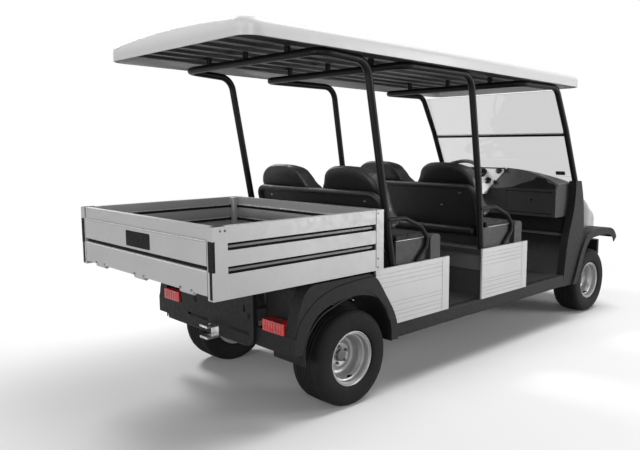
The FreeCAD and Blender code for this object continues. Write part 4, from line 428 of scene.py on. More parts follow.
def make_groups():
    """Shared effects: mottling, soft edges, grain, brushing, and dust that also serves as a painted highlight
    on upward faces.
    """
    tree, given, out = new_group("Mottle", {"Vector": None, "Scale": 4.0}, ["Patches", "Specks"])
    finer = maths(tree, "MULTIPLY", given["Scale"], 14.0)
    for label, scale, detail in (("Patches", given["Scale"], 4.0), ("Specks", finer, 3.0)):
        tree.links.new(ranged(tree, clouds(tree, given["Vector"], scale, detail)[0], 0.32, 0.68), out[label])

    tree, given, out = new_group("Soft Edge", {"Radius": 0.002}, ["Normal", "Wear"])
    bevel = add(tree, "ShaderNodeBevel", {"Radius": given["Radius"]}, samples=4).outputs[0]
    flat = add(tree, "ShaderNodeNewGeometry").outputs["Normal"]
    turn = vector_maths(tree, "DOT_PRODUCT", {0: bevel, 1: flat})["Value"]
    tree.links.new(bevel, out["Normal"])
    tree.links.new(ranged(tree, turn, 0.995, 0.85), out["Wear"])

    tree, given, out = new_group("Moulded Grain", {"Vector": None, "Scale": 500.0}, ["Height"])
    fuzz = clouds(tree, given["Vector"], given["Scale"], 2.0)[0]
    both = maths(tree, "ADD", cells(tree, given["Vector"], given["Scale"]), fuzz)
    tree.links.new(both, out["Height"])

    tree, given, out = new_group("Vinyl Grain", {"Vector": None, "Scale": 260.0}, ["Height"])
    bend = clouds(tree, given["Vector"], 60.0, 2.0)["Color"]
    shift = vector_maths(tree, "SCALE", {0: bend, "Scale": 0.01})[0]
    moved = vector_maths(tree, "ADD", {0: given["Vector"], 1: shift})[0]
    crease = cells(tree, moved, given["Scale"], feature="DISTANCE_TO_EDGE")
    tree.links.new(ranged(tree, crease, 0.0, 0.12), out["Height"])

    tree, given, out = new_group("Brushed", {"Vector": None}, ["Streak"])
    long = vector_maths(tree, "MULTIPLY", {0: given["Vector"], 1: (2.0, 300.0, 300.0)})[0]
    tree.links.new(clouds(tree, long, 1.0, 3.0)[0], out["Streak"])

    # Dust on upward faces; where it is heavy it stands for a painted highlight.
    tree, given, out = new_group("Dust and Highlight", {"Vector": None, "Amount": 0.3}, ["Mask"])
    normal = add(tree, "ShaderNodeNewGeometry").outputs["Normal"]
    up = add(tree, "ShaderNodeSeparateXYZ", {0: normal}).outputs["Z"]
    cloud = clouds(tree, given["Vector"], 9.0, 6.0)[0]
    part = maths(tree, "MULTIPLY", ranged(tree, up, 0.2, 1.0), cloud)
    tree.links.new(maths(tree, "MULTIPLY", part, given["Amount"]), out["Mask"])


def opaque(colour):
    return (colour[0], colour[1], colour[2], 1.0)


def shade(colour, factor):
    return opaque([min(1.0, channel * factor) for channel in colour[:3]])


def grey(level):
    return (level, level, level)


def emptied(holder):
    """The node tree of a material or a world, cleared."""
    holder.use_nodes = True
    holder.node_tree.nodes.clear()
    return holder.node_tree


def new_finish(name):
    """A material, its empty tree and the place on the piece."""
    finish = bpy.data.materials.new(name)
    tree = emptied(finish)
    return finish, tree, add(tree, "ShaderNodeTexCoord").outputs["Object"]


def ended(tree, kind, values, end="ShaderNodeOutputMaterial"):
    """The last shader of a tree and its output."""
    add(tree, end, {"Surface": add(tree, kind, values).outputs[0]})


# The grey of dust, and of the painted highlight on upward faces.
DUST_AND_HIGHLIGHT = (0.31, 0.31, 0.305, 1.0)
GLOSS_SPREAD = 0.07


def surface(name, colour, roughness, metallic=0.0, mottle=4.0, spread=0.12, grain=None, edge=0.0015,
            wear=None, dust_and_highlight=0.0, coat=0.0, specular=0.5, painted_shade_fall=None):
    """A finish with mottled colour and gloss, a grain, softened edges with a little wear, painted shade below
    a height, and dust on top, which where it is heavy is a painted highlight on upward faces.
    """
    finish, tree, place = new_finish(name)
    patches = effect(tree, "Mottle", {"Vector": place, "Scale": mottle})
    soft = effect(tree, "Soft Edge", {"Radius": edge})
    tone = mixed(tree, patches["Patches"], shade(colour, 1 - spread), shade(colour, 1 + spread))
    # Painted shade: the colour darkens below a height, as on the roof's skirt.
    if painted_shade_fall:
        low, high, depth = painted_shade_fall
        height = add(tree, "ShaderNodeSeparateXYZ", {0: place}).outputs["Z"]
        tone = mixed(tree, ranged(tree, height, high, low), tone, shade(colour, depth))
    if wear:
        tone = mixed(tree, maths(tree, "MULTIPLY", soft["Wear"], patches["Specks"]), tone, opaque(wear))
    # Dust on upward faces; where it is heavy it is a painted highlight.
    if dust_and_highlight:
        tone = mixed(tree, effect(tree, "Dust and Highlight", {"Vector": place, "Amount": dust_and_highlight})["Mask"], tone, DUST_AND_HIGHLIGHT)
    normal = soft["Normal"]
    if grain:
        kind, scale, depth = grain
        values = {"Vector": place} if kind == BRUSHED else {"Vector": place, "Scale": scale}
        normal = add(tree, "ShaderNodeBump", {"Height": effect(tree, kind, values)[0], "Strength": 0.6,
                                              "Distance": depth, "Normal": normal}).outputs[0]
    gloss = ranged(tree, patches["Specks"], to_low=max(0.02, roughness - GLOSS_SPREAD),
                   to_high=min(1.0, roughness + GLOSS_SPREAD))
    ended(tree, "ShaderNodeBsdfPrincipled", {
        "Base Color": tone, "Roughness": gloss, "Normal": normal, "Metallic": metallic, "Coat Weight": coat,
        "Coat Roughness": 0.12, "Specular IOR Level": specular})
    return finish


def clear_sheet(name, colour):
    """Tinted clear sheet with faint smears in its gloss."""
    finish, tree, place = new_finish(name)
    smear = effect(tree, "Mottle", {"Vector": place, "Scale": 5.0})["Patches"]
    ended(tree, "ShaderNodeBsdfPrincipled", {
        "Base Color": opaque(colour), "Transmission Weight": 1.0, "IOR": 1.45,
        "Roughness": ranged(tree, smear, to_high=0.03)})
    return finish


# Kinds of grain. A finish gives its kind, its cells to the metre and its depth.
MOULDED, VINYL, BRUSHED = "Moulded Grain", "Vinyl Grain", "Brushed"


def make_finishes(paint):
    """Every material of the cart, by name."""
    black, steel, bare = grey(0.20), (0.35, 0.35, 0.36), grey(0.7)
    return {
        # Painted shade: the roof darkens towards the lower edge of its skirt.
        "roof": surface("Roof white", paint.roof, 0.42, mottle=2.0, spread=0.02, edge=0.004, coat=0.2,
                        painted_shade_fall=(1.79, 1.868, 0.66)),
        "liner": surface("Liner plastic", (0.020, 0.020, 0.021), 0.55, grain=(MOULDED, 700.0, 0.0003)),
        "tube": surface("Tube black", paint.tube, 0.42, spread=0.2, grain=(MOULDED, 1500.0, 0.00012),
                        wear=black, specular=0.13),
        "frame": surface("Frame black", grey(0.014), 0.6, spread=0.3, wear=steel, dust_and_highlight=0.25),
        "axle": surface("Axle iron", (0.022, 0.021, 0.020), 0.62, spread=0.35, wear=steel, dust_and_highlight=0.3),
        "spring": surface("Spring steel", (0.04, 0.038, 0.036), 0.5, metallic=0.5, spread=0.3, wear=steel,
                          dust_and_highlight=0.2),
        "engine": surface("Engine casting", grey(0.14), 0.5, metallic=0.6, spread=0.25, mottle=12.0,
                          grain=(MOULDED, 300.0, 0.0005), wear=steel, dust_and_highlight=0.3),
        "plastic": surface("Body plastic", paint.body, 0.56, spread=0.18, mottle=3.0,
                           grain=(MOULDED, 650.0, 0.0003), wear=grey(0.06), dust_and_highlight=0.04, specular=0.17),
        # Deep black: the own colour of small black parts, and painted shade in grooves, slots, gaps and under
        # the dash's lip.
        "recess": surface("Black and painted shade", grey(0.004), 0.8, specular=0.2),
        "floor": surface("Floor rubber", grey(0.009), 0.70, grain=(MOULDED, 220.0, 0.0008), dust_and_highlight=0.05,
                         specular=0.3),
        "sheet": surface("Base sheet", (0.040, 0.040, 0.041), 0.6, mottle=2.5, spread=0.15,
                         grain=(MOULDED, 420.0, 0.0003), specular=0.3),
        "aluminium": surface("Brushed aluminium", paint.metal, 0.45, metallic=0.2, mottle=3.0, spread=0.05,
                             grain=(BRUSHED, 0.0, 0.00018), wear=bare, edge=0.0012),
        "deck": surface("Deck aluminium", shade(paint.metal, 0.95), 0.5, metallic=0.35, mottle=3.0,
                        spread=0.1, grain=(BRUSHED, 0.0, 0.00018)),
        "panel": surface("Panel aluminium", shade(paint.metal, 1.1), 0.45, metallic=0.2, mottle=2.5,
                         spread=0.04, grain=(BRUSHED, 0.0, 0.00012), edge=0.0008),
        "rail": surface("Groove rail", grey(0.09), 0.4, metallic=0.6, mottle=6.0, spread=0.1),
        "zinc": surface("Zinc steel", (0.60, 0.60, 0.59), 0.27, metallic=0.95, mottle=30.0, spread=0.3,
                        wear=bare),
        # A pale grey for strips painted as highlights on ledges, creases and seat edges.
        "bright": surface("Bright edge", grey(0.62), 0.3, metallic=0.2, mottle=6.0, spread=0.04),
        "chrome": surface("Bright screw", grey(0.5), 0.25, metallic=1.0, mottle=20.0),
        "tyre": surface("Tyre rubber", grey(0.009), 0.72, spread=0.2, mottle=7.0, edge=0.001,
                        grain=(MOULDED, 420.0, 0.0004), dust_and_highlight=0.06, specular=0.14),
        "rim": surface("Rim silver", paint.rim, 0.4, metallic=0.55, mottle=8.0, spread=0.06,
                       grain=(MOULDED, 900.0, 0.00015), wear=grey(0.4), dust_and_highlight=0.03),
        "hub": surface("Hub grey", grey(0.10), 0.45, metallic=0.5, mottle=20.0, spread=0.2),
        "vinyl": surface("Cushion vinyl", paint.seat, 0.42, mottle=5.0, spread=0.15, edge=0.001,
                         grain=(VINYL, 330.0, 0.0004), specular=0.32, dust_and_highlight=0.02),
        # The heavy dust here is a painted highlight on the humps' upward faces.
        "padding": surface("Back vinyl", paint.seat, 0.38, mottle=5.0, spread=0.15, edge=0.001,
                           grain=(VINYL, 330.0, 0.0002), specular=0.4, dust_and_highlight=0.6),
        "wall": surface("Base wall", grey(0.12), 0.55, mottle=2.5, grain=(MOULDED, 420.0, 0.0002)),
        "shell": surface("Back shell", grey(0.010), 0.5, grain=(MOULDED, 600.0, 0.0003)),
        # The heavy dust on the dash's upward faces is partly dust and partly a painted highlight on its top.
        "dash": surface("Dash plastic", (0.026, 0.026, 0.027), 0.55, grain=(MOULDED, 520.0, 0.0005),
                        dust_and_highlight=0.7, specular=0.3),
        "silver": surface("Panel silver", (0.86, 0.86, 0.87), 0.36, metallic=0.1, mottle=6.0, spread=0.05,
                          grain=(MOULDED, 1200.0, 0.0001)),
        "dial": surface("Dial black", grey(0.01), 0.3, coat=0.4),
        "grip": surface("Wheel grip", grey(0.012), 0.5, grain=(VINYL, 500.0, 0.0003)),
        "cowl": surface("Cowl silver", paint.cowl, 0.34, metallic=0.35, mottle=2.0, spread=0.04, edge=0.003,
                        coat=0.5, grain=(MOULDED, 2400.0, 0.00005)),
        "red": surface("Lamp red", (0.45, 0.012, 0.014), 0.22, mottle=14.0, spread=0.25, coat=0.6,
                       edge=0.002),
        "clear": clear_sheet("Lamp clear", (0.93, 0.94, 0.95)),
        "glass": clear_sheet("Screen clear", paint.glass),
    }


FINISH = {}


# What a user would change

def colour(name, description, value):
    """A colour to change."""
    return bpy.props.FloatVectorProperty(name=name, description=description, subtype="COLOR", size=3, min=0,
                                         max=1, default=value)


def length(name, description, value, least, most):
    """A length to change."""
    return bpy.props.FloatProperty(name=name, description=description, default=value, min=least, max=most,
                                   unit="LENGTH")


class CartPaint(bpy.types.PropertyGroup):
    """Colours of the cart's visible finishes."""
    roof: colour("Roof", "White of the moulded roof", grey(0.80))
    body: colour("Body", "Black of the moulded body plastic", grey(0.009))
    tube: colour("Tubes", "Black coat of the roof's tubes", grey(0.004))
    metal: colour("Aluminium", "Brushed metal of the bed and panels", grey(0.38))
    rim: colour("Rims", "Silver paint of the rims", grey(0.34))
    seat: colour("Seats", "Vinyl of the cushions", grey(0.005))
    cowl: colour("Cowl", "Silver paint of the nose", (0.112, 0.116, 0.123))
    glass: colour("Windscreen", "Tint of the clear windscreen", grey(0.68))


class CartSizes(bpy.types.PropertyGroup):
    """Sizes of the cart's fine detail."""
    grooves: bpy.props.IntProperty(name="Tread Grooves", description="Grooves round each tyre", default=5,
                                   min=1, max=9)
    groove_depth: length("Groove Depth", "Depth of the tread grooves", 0.006, 0.001, 0.012)
    padding: length("Padding", "How far the seats' padding swells", 0.012, 0.002, 0.03)
    screw: length("Screw Heads", "Radius of the small screw heads", 0.0055, 0.002, 0.01)


# The wheels

ENDS = ("rear", "front")
# A tyre's flank from its bead to its shoulder, as (how far in from its widest place, radius).
FLANK = [(0.0185, 0.1275), (0.0185, 0.1405), (0.014, 0.1445), (0.006, 0.150), (0.0045, 0.153),
         (0.0025, 0.162), (0.0005, 0.178), (0.0003, 0.196), (0.002, 0.212), (0.0065, 0.226), (0.0105, 0.232),
         (0.0125, 0.2335), (0.016, 0.238), (0.024, 0.2425), (0.034, 0.2448)]
SHOULDER = 0.036
GROOVE_LIP = 0.0035
CROWN_FALL = 0.0022


def tread_profile(half, radius, grooves, depth):
    """A tyre's section from bead to bead, as (across, radius)."""
    flank = [(half - inset, rise) for inset, rise in FLANK]
    crown = half - SHOULDER
    pitch = 2 * crown / (grooves + 1)
    tread = []
    for index in range(grooves):
        centre = crown - (index + 1) * pitch
        for lips, drop in ((2, 0.0), (1, depth * 0.9), (-1, depth * 0.9), (-2, 0.0)):
            across = centre + GROOVE_LIP * lips
            rise = radius - 0.0005 - CROWN_FALL * (across / crown) ** 2
            tread.append((across, rise - drop))
    return flank + tread + [(-across, rise) for across, rise in reversed(flank)]


def wheel_pair(left, name, end, finish, slot_name, solid, angle):
    """A wheel's left piece and its mirror image, each on its own wheel and in place of its own solid."""
    left.name = "%s_%s_left" % (name, end)
    for side, piece in (("left", left), ("right", mirrored(left, "%s_%s_right" % (name, end)))):
        place = "%s_%s" % (end, side)
        nodes = [solid + place] if solid else []
        done(piece, finish, "wheel_" + place, slot_name, *nodes, angle=angle)


class CART_OT_tyres(bpy.types.Operator):
    """Four tyres with a ribbed tread and plain flanks"""
    bl_idname = "cart.tyres"
    bl_label = "Tyres"

    def execute(self, context):
        sizes = context.scene.cart_sizes
        for end in ENDS:
            node = "tyre_%s_left" % end
            low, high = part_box(node)
            profile = tread_profile((high.y - low.y) / 2 - 0.0005, (high.z - low.z) / 2, sizes.grooves,
                                    sizes.groove_depth)
            tread = spun("tread", profile, middle(node), steps=96)
            wheel_pair(tread, "tread", end, "tyre", "tyre_rubber", "tyre_", angle=24)
        return {"FINISHED"}


# A rim's section from its outer lip over its dish and round its back, as (way, step, radius). The step is
# taken from the outer lip, the middle or the inner lip, as the way is 1, 0 or -1.
RIM = [(1, -0.003, 0.1408), (1, 0, 0.1395), (1, 0.0005, 0.1372), (1, -0.002, 0.1350), (1, -0.009, 0.1322),
       (1, -0.011, 0.1300), (1, -0.012, 0.1235), (1, -0.030, 0.1215), (1, -0.034, 0.1195),
       (1, -0.037, 0.1130), (1, -0.050, 0.1080), (1, -0.056, 0.1040), (0, 0.018, 0.1015),
       (0, 0.006, 0.0995), (0, -0.002, 0.0950), (0, -0.006, 0.0880), (0, -0.007, 0.0800),
       (0, -0.005, 0.0720), (0, 0.002, 0.0640), (0, 0.005, 0.0600), (0, 0.005, 0.0500), (0, 0.003, 0.0440),
       (0, 0.003, 0.0010), (0, -0.012, 0.0010), (0, -0.012, 0.0600), (0, -0.014, 0.0900),
       (0, -0.006, 0.1030), (-1, 0.040, 0.1030), (-1, 0.030, 0.1220), (-1, 0, 0.1350), (-1, 0, 0.1408),
       (-1, 0.006, 0.1408), (-1, 0.0065, 0.1270), (-1, 0.036, 0.1270), (-1, 0.050, 0.1050),
       (1, -0.050, 0.1090), (1, -0.036, 0.1270), (1, -0.0065, 0.1270), (1, -0.006, 0.1408)]
HUB_CAP = [(-0.012, 0.0310), (0.012, 0.0310), (0.016, 0.0298), (0.0185, 0.0260), (0.0195, 0.0140),
           (0.0195, 0.0010)]
NUTS = 5
NUT_CIRCLE = 0.044
VALVE_CIRCLE = 0.108
VALVE_TURN = math.radians(-82)


class CART_OT_rims(bpy.types.Operator):
    """Four deep dished rims with hub cap, nuts and valve"""
    bl_idname = "cart.rims"
    bl_label = "Rims"

    def execute(self, context):
        outward = Vector((0, 1, 0))
        for end in ENDS:
            node = "rim_%s_left" % end
            low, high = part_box(node)
            lip = (high.y - low.y) / 2 + 0.012 - 0.0125
            centre = middle(node)
            profile = [(way * lip + step, radius) for way, step, radius in RIM]
            wheel = spun("rim_body", profile + profile[:1], centre, steps=72)
            hub = [spun("cap", HUB_CAP, centre, steps=40)]
            for index in range(NUTS):
                turn = math.tau * (index + 0.35) / NUTS
                foot = centre + Vector((NUT_CIRCLE * math.cos(turn), 0, NUT_CIRCLE * math.sin(turn)))
                nut = drum("nut", foot - outward * 0.004, foot + outward * 0.016, 0.0082, 6)
                hub.append(eased(nut, 0.002))
            ahead, up = math.cos(VALVE_TURN), math.sin(VALVE_TURN)
            seat = centre + Vector((VALVE_CIRCLE * ahead, lip - 0.046, VALVE_CIRCLE * up))
            tip = seat + Vector((-0.012 * ahead, 0.026, -0.012 * up))
            valve = joined("valve", [drum("stem", seat, tip, 0.0045, 16),
                                     drum("stem_foot", seat, seat + (tip - seat) * 0.45, 0.0072, 16)])
            for piece, name, finish, solid in ((wheel, "rim_body", "rim", "rim_"),
                                               (joined("hub", hub), "hub_parts", "hub", None),
                                               (eased(valve, 0.0012), "valve", "recess", None)):
                wheel_pair(piece, name, end, finish, "rim_steel", solid, angle=28)
        return {"FINISHED"}


# The seats

# For each bench its back's foot and its cushion's nose.
BENCHES = {"rear": (0.372, 0.739), "front": (1.236, 1.619)}
CUSHION_HALF = 0.562
CUSHION_Z = (0.7365, 0.820)
CUSHION_GAP = 0.010
ROLL = 0.086
PIPING_EDGE = 0.010
BACK_FOOT = 0.826
BACK_THICK = 0.090
LEAN = math.radians(20)
# The upright pad: its outline as (across, height above its foot) and its side as (ahead, height).
BACK_OUTLINE = [(0.498, 0.010), (0.503, 0.130), (0.503, 0.255), (0.492, 0.300), (0.458, 0.345),
                (0.385, 0.382), (0.276, 0.396), (0.168, 0.384), (0.108, 0.350), (0.076, 0.296),
                (0.046, 0.254), (0.018, 0.222), (0.009, 0.130), (0.010, 0.010)]
BACK_SIDE = [(0.082, -0.050), (0.088, 0.085), (0.088, 0.235), (0.080, 0.318), (0.064, 0.362), (0.030, 0.394),
             (-0.030, 0.400), (-0.090, 0.300), (-0.090, 0.100), (-0.060, -0.080), (0.040, -0.090)]
# The piping stops short of the neck between two pads, and runs a little inside the outline.
PIPING_END = 0.062
PIPING_WIDTH, PIPING_RISE = 0.95, 0.93
BACK_MIDDLE = 0.25
BACK_SCREWS = ((-0.241, 0.108), (0.241, 0.108), (-0.40, 0.20), (0.40, 0.20))


def welt(name, points, pad, bend=0.03, cuts=24):
    """Piping that lies on a pad along drawn points."""
    piece = bent_line(name, points, bend, 6)
    with editing(piece):
        bpy.ops.mesh.subdivide(number_cuts=cuts)
    applied(piece, "SHRINKWRAP", target=pad, wrap_method="NEAREST_SURFACEPOINT")
    return rounded_bar(piece, 0.0034, 3)


def leaned(piece, foot):
    """An upright piece, leaned back about the foot of a bench's back."""
    pivot = at(foot, 0, BACK_FOOT)
    piece.matrix_world = (Matrix.Translation(pivot) @ Matrix.Rotation(-LEAN, 4, "Y")
                          @ Matrix.Translation(-pivot))
    return placed(piece)


class CART_OT_cushions(bpy.types.Operator):
    """Two padded bench cushions, each with a roll along its front and piping"""
    bl_idname = "cart.cushions"
    bl_label = "Cushions"

    def execute(self, context):
        swell = context.scene.cart_sizes.padding
        inset = Vector((1, 1, 1)) * swell * 0.6
        low, high = CUSHION_Z
        home = BENCHES["rear"][1]
        roll = soft_block("roll", at(home - ROLL, -CUSHION_HALF, low) + inset,
                          at(home, CUSHION_HALF, high) - inset, 0.032, 4)
        roll = swollen(roll, voxel=0.008, cap=swell)
        for name, (foot, nose) in BENCHES.items():
            foot += CUSHION_GAP
            seat = soft_block("seat", at(foot, -CUSHION_HALF, low) + inset,
                              at(nose - ROLL, CUSHION_HALF, high) - inset, 0.024, 4)
            seat = swollen(seat, voxel=0.008, cap=swell)
            piece = joined("cushion_" + name, [seat, copied(roll, "roll_" + name, (nose - home, 0, 0))])
            stands_for = ["seat_cushions"] if name == "rear" else []
            done(piece, "vinyl", "chassis", "seat_vinyl", *stands_for, angle=80)
            back, front, half = foot + PIPING_EDGE, nose - PIPING_EDGE, CUSHION_HALF - PIPING_EDGE
            corners = ((back, -half), (front, -half), (front, half), (back, half))
            ring = [at(x, y, high - 0.015) for x, y in corners]
            ring.append(ring[0] + Vector((0, 0.001, 0)))
            done(welt("cushion_piping_" + name, ring, piece), "vinyl", "chassis", "seat_vinyl", angle=80)
        removed(roll)
        return {"FINISHED"}


class CART_OT_backs(bpy.types.Operator):
    """Four padded seat backs with humped tops and piping"""
    bl_idname = "cart.backs"
    bl_label = "Seat Backs"

    def execute(self, context):
        swell = context.scene.cart_sizes.padding
        foot = BENCHES["rear"][0]
        outline = smooth_outline([at(foot + 0.007, y, BACK_FOOT + z) for y, z in BACK_OUTLINE])
        pad = extruded(drawn("back_rear_left", outline), (BACK_THICK, 0, 0))
        side = drawn("side", smooth_outline([at(foot + x, -0.1, BACK_FOOT + z) for x, z in BACK_SIDE]))
        extruded(side, (0, 0.8, 0))
        applied(pad, "BOOLEAN", operation="INTERSECT", object=side, solver="EXACT")
        removed(side)
        pad = swollen(pad, voxel=0.007, cap=swell * 0.6, rounds=22)
        face = at(foot + 0.078, 0, 0).x
        line = [Vector((face, BACK_MIDDLE + (knot.y - BACK_MIDDLE) * PIPING_WIDTH,
                        BACK_FOOT + 0.012 + (knot.z - BACK_FOOT) * PIPING_RISE))
                for knot in outline if knot.y > PIPING_END]
        piping = welt("back_piping_rear_left", line, pad, bend=0.002, cuts=1)
        step = (BENCHES["front"][0] - foot, 0, 0)
        for piece in (pad, piping):
            leaned(piece, foot)
            right = mirrored(piece, piece.name.replace("left", "right"))
            for each in (piece, right, copied(piece, piece.name.replace("rear", "front"), step),
                         copied(right, right.name.replace("rear", "front"), step)):
                stands_for = ["seat_backs"] if each == pad else []
                done(each, "padding", "chassis", "seat_vinyl", *stands_for, angle=80)
        return {"FINISHED"}


class CART_OT_back_panels(bpy.types.Operator):
    """Finishes and screws for the hard panels, the tubes and the armrests"""
    bl_idname = "cart.back_panels"
    bl_label = "Back Panels"

    def execute(self, context):
        dressed("shell", "seat_back_panels")
        dressed("tube", "armrests")
        out = Vector((-math.cos(LEAN), 0, -math.sin(LEAN)))
        up = Vector((-math.sin(LEAN), 0, math.cos(LEAN)))
        for name, (foot, nose) in BENCHES.items():
            heads = [bolt(at(foot, y, BACK_FOOT) + up * rise + out * 0.0143, out, 0.0075)
                     for y, rise in BACK_SCREWS]
            done(joined("back_screws_" + name, heads), "chrome", "chassis", "seat_shell")
        return {"FINISHED"}


# The load bed

BED_GROOVES = ((0.889, 0.920), (0.791, 0.822))
BED_SIDE_RUN = (-0.765, 0.124)
# The inner faces of the front wall and of the side walls.
BED_INSIDE = (0.148, 0.600)
BED_RIDGES = ((0.872, 0.938), (0.775, 0.838))
BED_LIPS = (0.941, 0.862)
# How far a front corner's inner post reaches into the bed.
BED_POST = 0.042
GROOVE_SILL = 0.0012
BED_SCREWS = ((-0.800, 0.972), (-0.777, 0.972), (0.141, 0.973), (0.141, 0.745), (0.141, 0.700))
# What lines the inner walls at each lip, as (how far it stands out, from and to over the lip's foot): a pale
# strip painted as the lip's highlight, and dark strips painted as the shade under it.
LIP_HIGHLIGHT, SLOT_SHADE, SLOT_END_SHADE = (0.0125, 0.0, 0.0055), (0.0108, -0.0150, -0.0010), (0.0150, -0.0170, 0.0040)
PLATE_HALF = 0.1175


class CART_OT_bed_trim(bpy.types.Operator):
    """Painted shade lining the grooves, end caps, inner ridges with a painted highlight on each lip and
    painted shade under it, seams, screws, painted highlights on the tailgate's creases and a bare plate on
    the load bed
    """
    bl_idname = "cart.bed_trim"
    bl_label = "Bed Trim"

    def execute(self, context):
        self.side_walls(context.scene.cart_sizes.screw)
        self.front_wall()
        self.gate()
        return {"FINISHED"}

    def side_walls(self, screw):
        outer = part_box("bed_side_walls")[1].y
        start, stop = BED_SIDE_RUN
        front, side = BED_INSIDE
        rear, end = start - 0.030, front - BED_POST
        dark, rails, caps, ridges, lips, slot_shades = [], [], [], [], [], []
        for low, high in BED_GROOVES:
            centre = (low + high) / 2
            # Painted shade: dark linings at the back and along the edges of each groove.
            dark.append(block("groove_shade", at(start, outer - 0.0205, low),
                              at(stop + 0.030, outer - 0.0185, high)))
            for foot, top in ((low, low + GROOVE_SILL), (high - GROOVE_SILL, high)):
                dark.append(block("groove_shade", at(start, outer - 0.0190, foot), at(stop, outer - 0.0025, top)))
            rails.append(block("rail", at(start, outer - 0.0200, centre - 0.0052),
                               at(stop, outer - 0.0070, centre + 0.0048)))
            caps.append(soft_block("end", at(stop - 0.016, outer - 0.019, low - 0.0005),
                                   at(stop - 0.0005, outer - 0.001, high + 0.006), 0.002))
            ridges.append(block("filler", at(stop + 0.0005, outer - 0.020, low + 0.0002),
                                at(stop + 0.0308, outer - 0.0001, high - 0.0002)))
        dark.append(block("slit", at(-0.8387, 0.6080, 0.690), at(-0.8350, 0.6262, 0.806)))
        dark.append(block("seam", at(0.1248, outer - 0.0040, 0.700), at(0.1280, outer + 0.0004, 0.990)))
        caps.append(soft_block("cap", at(-0.8360, 0.604, 0.9860), at(-0.7700, outer - 0.001, 0.9912), 0.002))
        heads = [bolt(at(x, outer, z), (0, 1, 0), screw, 0.0012) for x, z in BED_SCREWS]
        for low, high in BED_RIDGES:
            ridges.append(soft_block("ridge", at(rear, side - 0.010, low), at(end, side + 0.002, high),
                                     0.008))
        # Each lip: a pale strip painted as its highlight, and dark strips painted as the shade under it.
        for z in BED_LIPS:
            for pieces, (out, low, high), first, last in ((lips, LIP_HIGHLIGHT, rear, end), (slot_shades, SLOT_SHADE, rear, end),
                                                          (slot_shades, SLOT_END_SHADE, end - 0.010, end + 0.001)):
                pieces.append(block("run", at(first, side - out, z + low), at(last, side, z + high)))
        ridges.append(soft_block("post", at(end, side - BED_POST, 0.6900),
                                 at(front + 0.002, side + 0.002, 0.9880), 0.005, 3))
        caps.append(soft_block("latch_wrap", at(-0.8386, 0.6300, 0.8035), at(-0.8270, outer + 0.0008, 0.9310),
                               0.002))
        sets = {"lips": (lips, "bright", "bed_aluminium"), "slot_shades": (slot_shades, "recess", "latch_plastic"),
                "groove_shade": (dark, "recess", "latch_plastic"), "rail": (rails, "rail", "bed_aluminium"),
                "caps": (caps, "recess", "latch_plastic"), "screws": (heads, "hub", "zinc_steel"),
                "ridges": (ridges, "aluminium", "bed_aluminium")}
        for name, (pieces, finish, slot_name) in sets.items():
            both_done(joined("bed_%s_left" % name, pieces), finish, "cargo_bed", slot_name)

    def front_wall(self):
        front, side = BED_INSIDE
        reach = side - BED_POST

        def runs(place, sides=((-reach, reach),)):
            out, low, high = place
            return [block("run", at(front - out, y0, z + low), at(front, y1, z + high))
                    for z in BED_LIPS for y0, y1 in sides]

        # The front wall's lips get the same painted highlight and painted shade.
        ridges = [soft_block("ridge", at(front - 0.010, -reach, low), at(front + 0.002, reach, high), 0.008)
                  for low, high in BED_RIDGES]
        ends = ((-reach - 0.001, -reach + 0.010), (reach - 0.010, reach + 0.001))
        for name, pieces, finish in (("ridges", ridges, "aluminium"), ("lip", runs(LIP_HIGHLIGHT), "bright"),
                                     ("slot_shade", runs(SLOT_SHADE) + runs(SLOT_END_SHADE, ends), "recess")):
            done(joined("bed_%s_front" % name, pieces), finish, "cargo_bed", "bed_aluminium")

    def gate(self):
        low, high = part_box("tailgate")
        back, half = low.x, high.y
        # Painted shade: a dark lining deep in the tailgate's groove.
        groove_shade = block("gate_groove_shade", (back + 0.0130, -half + 0.0005, 0.8092),
                       (back + 0.0160, half - 0.0005, 0.8268))
        done(groove_shade, "recess", "tailgate", "latch_plastic")
        corners = [(back - 0.0008, y, z) for y, z in ((-PLATE_HALF, 0.838), (PLATE_HALF, 0.838),
                                                      (PLATE_HALF, 0.913), (-PLATE_HALF, 0.913))]
        plate = corner_rounded(drawn("gate_plate", corners), 0.008, lambda co: True, 5)
        done(extruded(plate, (0.003, 0, 0)), "recess", "tailgate", "latch_plastic")
        # Pale strips painted as the highlights along the tailgate's creases.
        crease_highlights = [block("line", (back - 0.0008, -half + 0.003, z), (back + 0.002, half - 0.003, z + 0.0042))
                 for z in (0.9285, 0.8020)]
        done(joined("gate_crease_highlights", crease_highlights), "bright", "tailgate", "bed_aluminium")


# The dashboard and the windscreen

SLOPE_FOOT, SLOPE = Vector((2.100, 0, 0.978)), Vector((0.118, 0, 0.152)).normalized()
PANEL_FOOT, PANEL_UP = Vector((2.060, 0, 0.930)), Vector((0.146, 0, 0.200)).normalized()
SCREEN_FOOT, SCREEN_UP = Vector((2.318, 0, 1.072)), Vector((-0.286, 0, 0.601)).normalized()
# The shadow under the dash's upper lip, above the glovebox, painted as a dark sheet, as (across, way up the
# slope).
LIP_SHADOW = [(-0.100, 0.002), (-0.196, 0.018), (-0.243, 0.046), (-0.345, 0.087), (-0.350, 0.116), (-0.440, 0.098),
         (-0.450, 0.080), (-0.467, 0.066), (-0.525, 0.052), (-0.538, 0.030), (-0.540, 0.002)]
# Knobs on the instrument panel as (across, height, radius).
KNOBS = [(-0.025, 1.103, 0.021), (-0.082, 1.106, 0.011), (0.036, 1.029, 0.024), (-0.032, 1.018, 0.014),
         (0.115, 1.085, 0.034), (0.205, 1.085, 0.020), (0.120, 1.000, 0.012), (0.170, 1.000, 0.012)]
BEAD_EDGE = 0.010


def facing(up):
    """The way out of a slanted face towards the seats, from its way up."""
    return Vector((-up.z, 0, up.x))


def on_face(foot, up, across, rise, out=0.0):
    """A point on a slanted face, from its place across, its way up and its height above the face."""
    spot = foot + up * rise + facing(up) * out
    return at(spot.x, across, spot.z)


